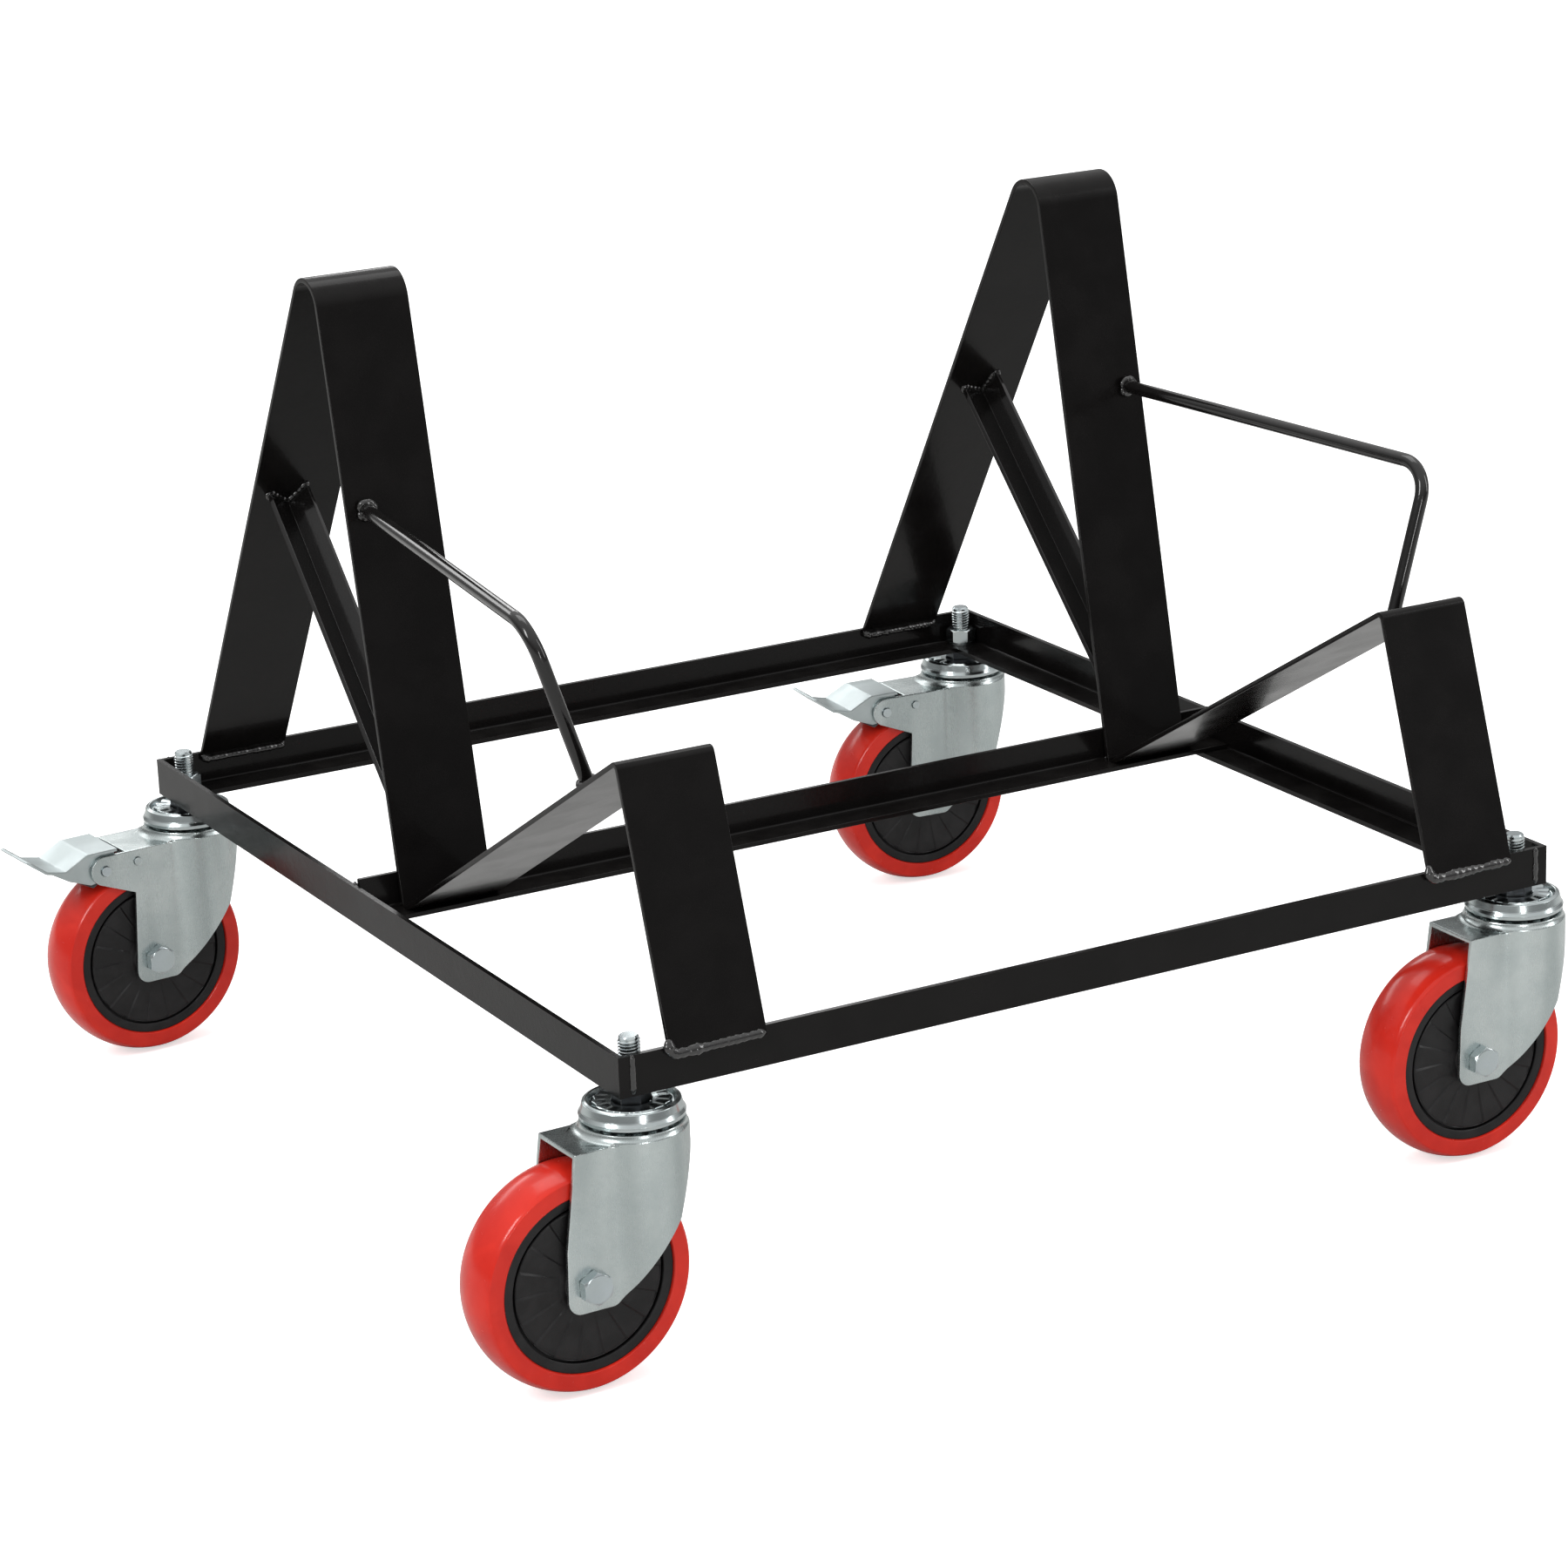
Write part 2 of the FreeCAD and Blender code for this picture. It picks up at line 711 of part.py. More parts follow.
def make_fork_blank(name, braked):
    """The pressed channel before its sides are trimmed: a drum round the stem and two parallel legs."""
    body = start_body(f"{name}_blank")
    foot = "wheel_radius - fork_toe"
    tail = "-(ear_x + ear_radius)" if braked else "-(fork_heel_x + 1)"
    height = f"plate_top - ({foot})"
    half = "fork_half"
    sketch = start_sketch(body, "XY", z=foot)
    add_outline(sketch, [(tail, f"-{half}"), ("0", f"-{half}"), ("0", half), (tail, half)])
    pad(body, sketch, height)
    sketch = start_sketch(body, "XY", z=foot)
    add_circle(sketch, "0", "0", "fork_drum")
    pad(body, sketch, height)
    shoulder = -math.sqrt(size("fork_drum") ** 2 - size("fork_half") ** 2)
    corners = [lambda e, s=s: near(e, x=shoulder, y=s * size("fork_half")) for s in (-1, 1)]
    dress(body, "Fillet", lambda e: any(chosen(e) for chosen in corners), Radius="fork_blend")
    inside = "fork_half - fork_wall"
    depth = f"{height} - fork_wall"
    sketch = start_sketch(body, "XY", z=foot)
    behind = "-(ear_x + 2 * ear_radius)"
    add_outline(sketch, [(behind, f"-({inside})"), ("0", f"-({inside})"), ("0", inside), (behind, inside)])
    pocket(body, sketch, depth, flipped=True)
    sketch = start_sketch(body, "XY", z=foot)
    add_circle(sketch, "0", "0", "fork_drum - fork_wall")
    pocket(body, sketch, depth, flipped=True)
    if braked:
        sketch = start_sketch(body, "XY", z="plate_top + 1")
        end = "-plate_end"
        opening = [(behind, f"-({inside})"), (end, f"-({inside})"), (end, inside), (behind, inside)]
        add_outline(sketch, opening)
        pocket(body, sketch, "fork_wall + 2")
    return body


def make_fork_profile(name, braked):
    """What a fork's sides are trimmed to: straight edges, and rounds about the axle and the ear."""
    body = start_body(f"{name}_side")
    toe = "wheel_radius - fork_toe"
    corners = [
        ("fork_front", "plate_top"),
        ("fork_chest_x", "fork_chest_z"),
        ("fork_knee_x", "fork_knee_z"),
        ("-toe_front_x", toe),
        ("-toe_rear_x", toe),
    ]
    if braked:
        tangent = ("-ear_x - ear_radius * sin(ear_slope)", "ear_z - ear_radius * cos(ear_slope)")
        corners += [("-crotch_x", "crotch_z"), tangent, ("-ear_x", "ear_z + ear_radius")]
    else:
        corners += [("-fork_heel_x", "fork_heel_z"), ("-fork_rear", "plate_top")]
    sketch = start_sketch(body, "XZ")
    add_outline(sketch, corners)
    width = "3 * fork_drum"
    pad(body, sketch, width, symmetric=True)
    for end in ("front", "rear"):
        x, z = size(f"-toe_{end}_x"), size(toe)
        dress(body, "Fillet", lambda e, x=x, z=z: near(e, x=x, z=z), Radius=f"toe_{end}_round")
    if not braked:
        return body
    ear = cylinder(f"{name}_ear", "ear_radius", width, "-ear_x", "-1.5 * fork_drum", "ear_z", along_y=True)
    return join(f"{name}_outline", [body, ear])


def make_boss(name, plan):
    """The raised ring under the balls, flaring down to the fork's plate and trimmed to its plan."""
    height = "boss_top - plate_top"
    foot = "boss_radius + boss_top - plate_top"
    disc = cylinder(f"{name}_disc", foot, height, z="plate_top")
    hollow = doc.addObject("Part::Torus", f"{name}_hollow")
    bind(hollow, Radius1=foot, Radius2=height, Placement__Base__z="boss_top")
    flare = cut(f"{name}_flare", disc, hollow)
    boss = doc.addObject("Part::Common", name)
    boss.Base = flare
    boss.Tool = plan
    return boss


def make_plan(name):
    """A fork's outline from above, as a block over its plate."""
    low, height = "plate_top - fork_toe", "2 * fork_toe"
    drum = cylinder(f"{name}_drum", "fork_drum", height, z=low)
    legs = box(f"{name}_legs", "-fork_rear", "-fork_half", low, "fork_rear", "2 * fork_half", height)
    return join(name, [drum, legs])


def make_fork(corner, braked):
    name = f"fork_{corner}"
    trimmed = doc.addObject("Part::Common", f"{name}_trimmed")
    trimmed.Base = make_fork_blank(name, braked)
    trimmed.Tool = make_fork_profile(name, braked)
    boss = make_boss(f"{name}_boss", make_plan(f"{name}_plan"))
    start, width = "-1.5 * fork_drum", "3 * fork_drum"
    holes = [
        cylinder(f"{name}_pin_hole", "pin_radius + pin_room", "fork_drum", z="plate_top - 2 * fork_wall"),
        cylinder(f"{name}_axle_hole", "axle_hole", width, "-trail", start, "wheel_radius", along_y=True),
    ]
    if braked:
        holes += [
            cylinder(f"{name}_pedal_hole", "brake_pin_bore", width, "-ear_x", start, "ear_z", along_y=True),
            cylinder(f"{name}_stop_hole", "stop_pin_bore", width, "-stop_x", start, "stop_z", along_y=True),
        ]
    solid = join(f"{name}_solid", [trimmed, boss])
    fork = cut(name, solid, join(f"{name}_holes", holes))
    place_on_caster(fork, corner)
    return keep(fork, name)


def start_wheel_sketch(body):
    """A sketch whose upright axis is the wheel's axle."""
    return start_sketch(body, "XY", x="-trail", z="wheel_radius")


def make_core(corner):
    """The wheel's plastic centre: a hub, a disc and a rim with a groove between them on each face."""
    body = start_body(f"wheel_core_{corner}")
    sketch = start_wheel_sketch(body)
    steps = [
        ("bush_radius + bore_gap", "hub_half"),
        ("hub_radius", "hub_half"),
        ("hub_radius + 1", "disc_half"),
        ("groove_inner", "disc_half"),
        ("groove_inner", "disc_half - groove_depth"),
        ("groove_outer", "disc_half - groove_depth"),
        ("groove_outer", "core_half"),
        ("tread_inner - core_gap", "core_half"),
    ]
    mirrored = [(radius, f"-({half})") for radius, half in reversed(steps)]
    add_outline(sketch, steps + mirrored)
    revolve(body, sketch)
    place_on_caster(body, corner)
    return keep(body, body.Name)


def make_tread(corner):
    """The tyre cast round the core, with sloping shoulders and a nearly flat crown."""
    body = start_body(f"tread_{corner}")
    sketch = start_wheel_sketch(body)
    steps = [
        ("tread_inner", "core_half"),
        ("tread_inner + 1", "tread_half"),
        ("tread_side", "tread_half"),
        ("tread_side + 1", "tread_half - 0.8"),
        ("wheel_radius - 1.6", "tread_half - 5.5"),
        ("wheel_radius - 0.5", "tread_half - 10"),
        ("wheel_radius", "tread_half - 14"),
    ]
    mirrored = [(radius, f"-({half})") for radius, half in reversed(steps)]
    add_outline(sketch, steps + mirrored)
    revolve(body, sketch)
    place_on_caster(body, corner)
    return keep(body, body.Name)


def make_bush(corner):
    """The steel tube that the wheel turns on, clamped between the legs of the fork."""
    name = f"axle_bush_{corner}"
    length, start = "2 * bush_half", "-bush_half"
    tube = ["bush_radius", length, "-trail", start, "wheel_radius"]
    outside = cylinder(f"{name}_outside", *tube, along_y=True)
    room = ["bush_bore", f"{length} + 2", "-trail", f"{start} - 1", "wheel_radius"]
    inside = cylinder(f"{name}_inside", *room, along_y=True)
    bush = cut(name, outside, inside)
    place_on_caster(bush, corner)
    return keep(bush, name)


def make_axle(corner):
    """The hexagon-headed axle bolt and its nut on the far side of the fork."""
    name = f"axle_bolt_{corner}"
    face = "fork_half"
    shank = ["axle_radius", f"axle_tail + {face}", "-trail", f"-{face}", "wheel_radius"]
    head = ["head_flats", "head_height", "-trail", f"-{face} - head_height", "wheel_radius"]
    parts = [cylinder(f"{name}_shank", *shank, along_y=True), hexagon(f"{name}_head", *head, along_y=True)]
    bolt = join(name, parts)
    place_on_caster(bolt, corner)
    keep(bolt, name)
    name = f"axle_nut_{corner}"
    blank = ["head_flats", "axle_nut_height", "-trail", face, "wheel_radius"]
    room = ["bush_bore", "axle_nut_height + 2", "-trail", f"{face} - 1", "wheel_radius"]
    blank_nut = hexagon(f"{name}_blank", *blank, along_y=True)
    nut = cut(name, blank_nut, cylinder(f"{name}_bore", *room, along_y=True))
    place_on_caster(nut, corner)
    keep(nut, name)


def sweep_sheet(points, bend, wall, half):
    """A bent sheet: a flat strip along points in the XZ plane, each bend an arc, from -half to half."""
    edges = []
    last = points[0]
    for before, corner, after in zip(points, points[1:], points[2:]):
        back = (before - corner).normalize()
        onward = (after - corner).normalize()
        half_angle = back.getAngle(onward) / 2
        start = corner + back * (bend / math.tan(half_angle))
        stop = corner + onward * (bend / math.tan(half_angle))
        crown = corner + (back + onward).normalize() * (bend / math.sin(half_angle) - bend)
        edges += [Part.makeLine(last, start), Part.Arc(start, crown, stop).toShape()]
        last = stop
    edges.append(Part.makeLine(last, points[-1]))
    middle = Part.Wire(edges)
    middle.translate(FreeCAD.Vector(0, -half, 0))
    ribbon = middle.extrude(FreeCAD.Vector(0, 2 * half, 0))
    return ribbon.makeOffsetShape(wall, 0.01, fill=True)


def make_pedal(corner):
    """The foot pedal: a bent sheet over the fork's ears, with two cheeks down to the shoe."""
    name = f"brake_pedal_{corner}"
    wall, half = size("pedal_wall"), size("pedal_half")
    route = [(-size("pedal_start"), size("pedal_hump_z"))]
    route += [(-size(f"pedal_{part}_x"), size(f"pedal_{part}_z")) for part in ("hump", "dip", "foot", "tip")]
    places = [FreeCAD.Vector(x, 0, z) for x, z in route]
    metal = sweep_sheet(places, size("pedal_bend"), wall, half)
    if metal.BoundBox.ZMin < size("pedal_dip_z") - 0.1:
        raise RuntimeError("the pedal's sheet lies on the wrong side")
    tip = route[-1][0] - wall
    corner_round = size("pedal_round")
    plan = Part.makeBox(-tip, 2 * half, 4 * half, FreeCAD.Vector(tip, -half, 0.5 * size("pedal_dip_z")))
    upright = [e for e in plan.Edges if near(e, x=tip, y=-half) or near(e, x=tip, y=half)]
    metal = metal.common(plan.makeFillet(corner_round, upright)).Solids[0]
    lap = wall / 4
    outline = [(-size("pedal_start") - 1, size("pedal_hump_z") + lap)]
    outline += [(-size(f"cheek_{part}_x"), size(f"cheek_{part}_z")) for part in ("front", "low", "heel")]
    outline += [
        (-size("cheek_tip_x"), size("pedal_foot_z") - lap),
        (-size("pedal_dip_x"), size("pedal_dip_z") + lap),
        (-size("pedal_hump_x"), size("pedal_hump_z") + lap),
    ]
    solids = [metal]
    outer = size("cheek_outer")
    inner = outer - size("cheek_wall")
    for start in (-outer, inner):
        corners = [FreeCAD.Vector(x, start, z) for x, z in outline]
        face = Part.Face(Part.makePolygon(corners + corners[:1]))
        solids.append(face.extrude(FreeCAD.Vector(0, size("cheek_wall"), 0)))
    shape = solids[0].multiFuse(solids[1:])
    axis = FreeCAD.Vector(-size("ear_x"), -2 * outer, size("ear_z"))
    hole = Part.makeCylinder(size("brake_pin_bore"), 4 * outer, axis, FreeCAD.Vector(0, 1, 0))
    pedal = doc.addObject("Part::Feature", name)
    pedal.Shape = shape.cut(hole)
    place_on_caster(pedal, corner)
    return keep(pedal, name)


def make_shoe(corner):
    """The wedge between the cheeks that the pedal presses on the tread."""
    name = f"brake_shoe_{corner}"
    shoe = doc.addObject("Part::Feature", name)
    half = size("cheek_outer - cheek_wall")
    outline = [(-size(f"shoe_{part}_x"), size(f"shoe_{part}_z")) for part in ("front", "low", "heel")]
    outline += [(-size("shoe_heel_x") + 2, size("shoe_top_z")), (-size("shoe_front_x"), size("shoe_top_z"))]
    corners = [FreeCAD.Vector(x, -half, z) for x, z in outline]
    face = Part.Face(Part.makePolygon(corners + corners[:1]))
    axis = FreeCAD.Vector(-size("ear_x"), -2 * half, size("ear_z"))
    hole = Part.makeCylinder(size("brake_pin_bore"), 4 * half, axis, FreeCAD.Vector(0, 1, 0))
    shoe.Shape = face.extrude(FreeCAD.Vector(0, 2 * half, 0)).cut(hole)
    place_on_caster(shoe, corner)
    return keep(shoe, name)


def make_brake_pins(corner):
    """The pedal's hinge pin and the stop pin in front of it, each across the fork."""
    length, start = "2 * brake_pin_half", "-brake_pin_half"
    for name, radius, x, z in (
        ("pedal_pin", "brake_pin", "-ear_x", "ear_z"),
        ("stop_pin", "stop_pin", "-stop_x", "stop_z"),
    ):
        rod = cylinder(f"{name}_{corner}_rod", radius, length, x, start, z, along_y=True)
        pin = group(f"{name}_{corner}", [rod])
        place_on_caster(pin, corner)
        keep(pin, pin.Name)


def make_caster(corner):
    braked = corner.startswith("rear")
    make_stem(corner)
    make_cup(corner)
    make_fork(corner, braked)
    make_core(corner)
    make_tread(corner)
    make_bush(corner)
    make_axle(corner)
    if braked:
        make_pedal(corner)
        make_shoe(corner)
        make_brake_pins(corner)


def check_and_write():
    """Writes each finished piece to parts/ once every object of the document is sound."""
    doc.recompute()
    for item in doc.Objects:
        if {"Invalid", "Error"} & set(item.State):
            raise RuntimeError(f"{item.Name} failed: {item.State}")
    for piece in finished:
        if piece.Shape.isNull() or not piece.Shape.isValid():
            raise RuntimeError(f"{piece.Label} has no valid shape")
    os.makedirs("parts", exist_ok=True)
    for piece in finished:
        piece.Shape.exportStep(f"parts/{piece.Label}.step")
    print(len(finished), "pieces written")


make_base()
for side in SIDES:
    make_tall_support(side)
    make_short_support(side)
    make_brace(side)
    make_guide_rod(side)
for corner in CORNERS:
    make_caster(corner)
make_balls()
make_stem_fasteners()
check_and_write()
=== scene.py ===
"""Chair dolly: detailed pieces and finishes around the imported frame, all in metres."""

import json
import logging
import math
import random
from dataclasses import dataclass, field
from enum import Enum
from typing import Optional

import bmesh
import bpy
from mathutils import Matrix, Vector


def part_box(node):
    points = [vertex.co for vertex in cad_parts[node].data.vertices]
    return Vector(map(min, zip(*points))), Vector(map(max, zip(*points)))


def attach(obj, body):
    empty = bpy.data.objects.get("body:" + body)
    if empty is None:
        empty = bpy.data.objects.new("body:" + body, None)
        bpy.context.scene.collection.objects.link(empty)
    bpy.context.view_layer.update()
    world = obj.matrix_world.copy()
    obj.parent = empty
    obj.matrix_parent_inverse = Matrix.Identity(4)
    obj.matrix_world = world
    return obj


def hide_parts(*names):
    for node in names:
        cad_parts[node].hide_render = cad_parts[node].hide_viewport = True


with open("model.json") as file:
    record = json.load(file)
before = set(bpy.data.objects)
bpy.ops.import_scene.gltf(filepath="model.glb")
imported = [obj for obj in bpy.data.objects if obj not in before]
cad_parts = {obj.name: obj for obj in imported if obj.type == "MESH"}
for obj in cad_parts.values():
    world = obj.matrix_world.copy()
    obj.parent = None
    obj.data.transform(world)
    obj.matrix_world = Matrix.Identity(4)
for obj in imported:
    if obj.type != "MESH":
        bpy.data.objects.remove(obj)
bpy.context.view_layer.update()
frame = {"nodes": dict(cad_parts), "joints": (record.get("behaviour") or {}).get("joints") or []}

MM = 0.001
SAME_POINT = 2e-6
FLAT_TURN = math.radians(0.4)
LOG = logging.getLogger("dolly")


class Corner(Enum):
    """A corner of the base, with the side of the middle that it is on along X and Y."""

    FRONT_LEFT = ("front_left", -1, -1)
    FRONT_RIGHT = ("front_right", 1, -1)
    REAR_LEFT = ("rear_left", -1, 1)
    REAR_RIGHT = ("rear_right", 1, 1)

    @property
    def label(self) -> str:
        """The corner's name as nodes and bodies end in it."""
        return self.value[0]

    @property
    def braked(self) -> bool:
        """Whether the corner's caster has a brake."""
        return self.value[2] > 0


class Side(Enum):
    """Left or right half of the dolly."""

    LEFT = ("left", -1)
    RIGHT = ("right", 1)


def base_middle() -> Vector:
    """The point on the floor under the middle of the base."""
    low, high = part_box("front_rail")
    near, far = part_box("left_rail")
    return Vector(((low[0] + high[0]) / 2, (near[1] + far[1]) / 2, 0.0))


# ---- node helpers


class Nodes:
    """A node tree with short ways to add and join nodes."""

    def __init__(self, tree: bpy.types.NodeTree) -> None:
        """Takes over an empty or new tree.

        Args:
            tree: the shader node tree to fill.
        """
        self.tree = tree

    def fill(self, node: bpy.types.Node, **inputs: object) -> bpy.types.Node:
        """Gives a node's inputs their values, or links where the value is another node's output.

        Args:
            node: the node.
            inputs: values or output sockets, by input name with _ for a space, or in_N by index.

        Returns:
            The same node.
        """
        for name, value in inputs.items():
            key = int(name[3:]) if name.startswith("in_") else name.replace("_", " ")
            if isinstance(value, bpy.types.NodeSocket):
                self.tree.links.new(value, node.inputs[key])
            else:
                node.inputs[key].default_value = value
        return node

    def add(self, kind: str, settings: Optional[dict] = None, **inputs: object) -> bpy.types.Node:
        """Adds a node.

        Args:
            kind: the node's type name, without its ShaderNode prefix.
            settings: properties of the node itself.
            inputs: what goes into it, as fill takes it.

        Returns:
            The new node.
        """
        node = self.tree.nodes.new("ShaderNode" + kind)
        for name, value in (settings or {}).items():
            setattr(node, name, value)
        return self.fill(node, **inputs)

    def group(self, tree: bpy.types.NodeTree, **inputs: object) -> bpy.types.Node:
        """Adds a shader group, with values for its inputs."""
        return self.add("Group", {"node_tree": tree}, **inputs)

    def place(self) -> bpy.types.NodeSocket:
        """Adds the piece's own coordinates."""
        return self.add("TexCoord").outputs["Object"]

    def noise(self, vector: bpy.types.NodeSocket, scale: object, **inputs: object) -> bpy.types.NodeSocket:
        """Adds a noise texture and returns its value."""
        return self.add("TexNoise", Vector=vector, Scale=scale, **inputs).outputs["Fac"]

    def bump(self, height: bpy.types.NodeSocket, strength: float, distance: float) -> bpy.types.NodeSocket:
        """Adds a bump and returns its normal."""
        return self.add("Bump", Strength=strength, Distance=distance, Height=height).outputs[0]

    def math(self, operation: str, *values: object, clamp: bool = False) -> bpy.types.NodeSocket:
        """Adds a Math node and returns its output.

        Args:
            operation: the Math node's operation.
            values: up to three numbers or sockets.
            clamp: whether the answer is kept between 0 and 1.

        Returns:
            The value socket.
        """
        node = self.add("Math", {"operation": operation, "use_clamp": clamp})
        return self.fill(node, **{f"in_{index}": value for index, value in enumerate(values)}).outputs[0]

    def spread(self, value: bpy.types.NodeSocket, low: float, high: float, to_low: float = 0.0,
               to_high: float = 1.0) -> bpy.types.NodeSocket:
        """Maps a range of values on another, clamped and eased.

        Args:
            value: the socket to map.
            low: where the range starts.
            high: where the range ends.
            to_low: the answer at its start.
            to_high: the answer at its end.

        Returns:
            The mapped value socket.
        """
        node = self.add("MapRange", {"interpolation_type": "SMOOTHSTEP"}, Value=value, From_Min=low,
                        From_Max=high, To_Min=to_low, To_Max=to_high)
        return node.outputs[0]

    def blend(self, factor: object, first: object, second: object) -> bpy.types.NodeSocket:
        """Mixes two colours.

        Args:
            factor: 0 for the first, 1 for the second.
            first: a colour or socket.
            second: a colour or socket.

        Returns:
            The colour socket.
        """
        return self.add("Mix", {"data_type": "RGBA"}, in_0=factor, in_6=first, in_7=second).outputs[2]


@dataclass
class EffectGroups:
    """Shader groups that more than one finish uses; each is built once."""

    made: dict = field(default_factory=dict)

    def start(self, name: str, inputs: dict, outputs: tuple) -> tuple:
        """Makes an empty group with its sockets.

        Args:
            name: the group's name.
            inputs: default value of each input; a float or a 3-vector.
            outputs: name of each output; all are values.

        Returns:
            The group's Nodes, its input node and its output node.
        """
        tree = bpy.data.node_groups.new(name, "ShaderNodeTree")
        for label, value in inputs.items():
            kind = "NodeSocketVector" if isinstance(value, tuple) else "NodeSocketFloat"
            tree.interface.new_socket(label, in_out="INPUT", socket_type=kind).default_value = value
        for label in outputs:
            tree.interface.new_socket(label, in_out="OUTPUT", socket_type="NodeSocketFloat")
        self.made[name] = tree
        return Nodes(tree), tree.nodes.new("NodeGroupInput"), tree.nodes.new("NodeGroupOutput")

    def edge_rub(self) -> bpy.types.NodeTree:
        """Mask of outer edges, broken up by noise: worn edges where a finish blends in a worn colour, and a
        painted edge highlight where it blends in a near-white one.

        Returns:
            The group.
        """
        if "EdgeRubAndGlint" not in self.made:
            group, given, out = self.start("EdgeRubAndGlint", {"Radius": 0.0006, "Breakup": 900.0, "Amount": 0.5},
                                           ("Mask",))
            rounded = group.add("Bevel", {"samples": 4}, Radius=given.outputs["Radius"])
            flat = group.add("NewGeometry")
            turn = group.add("VectorMath", {"operation": "DOT_PRODUCT"}, in_0=rounded.outputs[0],
                             in_1=flat.outputs["Normal"])
            edge = group.spread(turn.outputs["Value"], 0.995, 0.86)
            noise = group.noise(group.place(), given.outputs["Breakup"], Detail=4.0, Roughness=0.65)
            mask = group.math("MULTIPLY", edge, group.spread(noise, 0.42, 0.66))
            group.fill(out, Mask=group.math("MULTIPLY", mask, given.outputs["Amount"], clamp=True))
        return self.made["EdgeRubAndGlint"]

    def dust_film(self) -> bpy.types.NodeTree:
        """Mask of thin dust on faces that look up.

        Returns:
            The group.
        """
        if "DustFilm" not in self.made:
            group, given, out = self.start("DustFilm", {"Scale": 60.0, "Amount": 0.3}, ("Mask",))
            flat = group.add("NewGeometry")
            up = group.add("SeparateXYZ", Vector=flat.outputs["Normal"])
            facing = group.spread(up.outputs["Z"], 0.15, 0.95)
            place = group.place()
            cloud = group.noise(place, given.outputs["Scale"], Detail=5.0, Roughness=0.6)
            specks = group.noise(place, 1500.0, Detail=2.0)
            mixed = group.math("MAXIMUM", group.spread(cloud, 0.35, 0.75), group.spread(specks, 0.62, 0.72))
            mask = group.math("MULTIPLY", mixed, facing)
            group.fill(out, Mask=group.math("MULTIPLY", mask, given.outputs["Amount"], clamp=True))
        return self.made["DustFilm"]

    def grain(self) -> bpy.types.NodeTree:
        """Drawn grain: noise pulled long in one direction, with a fine and a coarse part.

        Returns:
            The group.
        """
        if "DrawnGrain" not in self.made:
            group, given, out = self.start("DrawnGrain", {"Stretch": (1.0, 1.0, 1.0), "Scale": 400.0},
                                           ("Tone", "Height"))
            pulled = group.add("VectorMath", {"operation": "MULTIPLY"}, in_0=group.place(),
                               in_1=given.outputs["Stretch"]).outputs[0]
            fine = group.noise(pulled, given.outputs["Scale"], Detail=6.0, Roughness=0.7)
            coarse_scale = group.math("MULTIPLY", given.outputs["Scale"], 0.12)
            coarse = group.noise(pulled, coarse_scale, Detail=3.0)
            tone = group.math("ADD", group.math("MULTIPLY", fine, 0.6), group.math("MULTIPLY", coarse, 0.4))
            group.fill(out, Tone=tone, Height=fine)
        return self.made["DrawnGrain"]


GROUPS = EffectGroups()


# ---- finishes


@dataclass(frozen=True)
class Finish:
    """What every finish has: a name and a way to become a material."""

    name: str
    colour: tuple = (0.5, 0.5, 0.5, 1.0)

    def start(self, **constants: object) -> tuple:
        """Makes a new material with a Principled BSDF.

        Args:
            constants: values set on the shader's own sockets.

        Returns:
            The material, its Nodes and the shader node.
        """
        material = bpy.data.materials.new(self.name)
        material.use_nodes = True
        nodes = Nodes(material.node_tree)
        return material, nodes, nodes.fill(material.node_tree.nodes["Principled BSDF"], **constants)

    def toned(self, factor: float) -> tuple:
        """The finish's colour, made lighter or darker."""
        return tuple(c * factor for c in self.colour[:3]) + (1.0,)


@dataclass(frozen=True)
class PaintFinish(Finish):
    """Baked gloss paint on steel, with a little orange peel and thin dust."""

    colour: tuple = (0.0046, 0.0041, 0.0040, 1.0)
    # Light grey edge colour: partly worn paint, partly a painted edge highlight.
    rubbed: tuple = (0.045, 0.043, 0.042, 1.0)
    dust: tuple = (0.05, 0.048, 0.045, 1.0)
    roughness: float = 0.2
    peel_scale: float = 420.0
    peel_depth: float = 0.09
    sheen_level: float = 0.13
    coat: float = 0.1
    lumpy: float = 0.0

    def material(self) -> bpy.types.Material:
        """Builds the material and returns it."""
        material, nodes, shader = self.start(Specular_IOR_Level=self.sheen_level, Coat_Weight=self.coat,
                                             Coat_Roughness=0.07)
        place = nodes.place()
        peel = nodes.noise(place, self.peel_scale, Detail=2.0)
        waves = nodes.noise(place, 34.0, Detail=3.0)
        edge_mask = nodes.group(GROUPS.edge_rub(), Radius=0.0007, Breakup=700.0, Amount=0.6)
        film = nodes.group(GROUPS.dust_film(), Scale=48.0, Amount=0.1)
        tint = nodes.blend(nodes.spread(waves, 0.3, 0.7), self.colour, self.toned(1.35))
        # Edges blend to the light grey: partly worn paint, partly a painted edge highlight.
        tint = nodes.blend(edge_mask.outputs["Mask"], tint, self.rubbed)
        tint = nodes.blend(film.outputs["Mask"], tint, self.dust)
        rough = nodes.spread(waves, 0.3, 0.7, self.roughness * 0.85, self.roughness * 1.2)
        rough = nodes.math("ADD", rough, nodes.math("MULTIPLY", film.outputs["Mask"], 0.35))
        height = nodes.math("ADD", nodes.math("MULTIPLY", peel, 0.25),
                            nodes.math("MULTIPLY", waves, 1.0 + self.lumpy))
        normal = nodes.bump(height, self.peel_depth, 0.002)
        nodes.fill(shader, Base_Color=tint, Roughness=rough, Normal=normal)
        return material


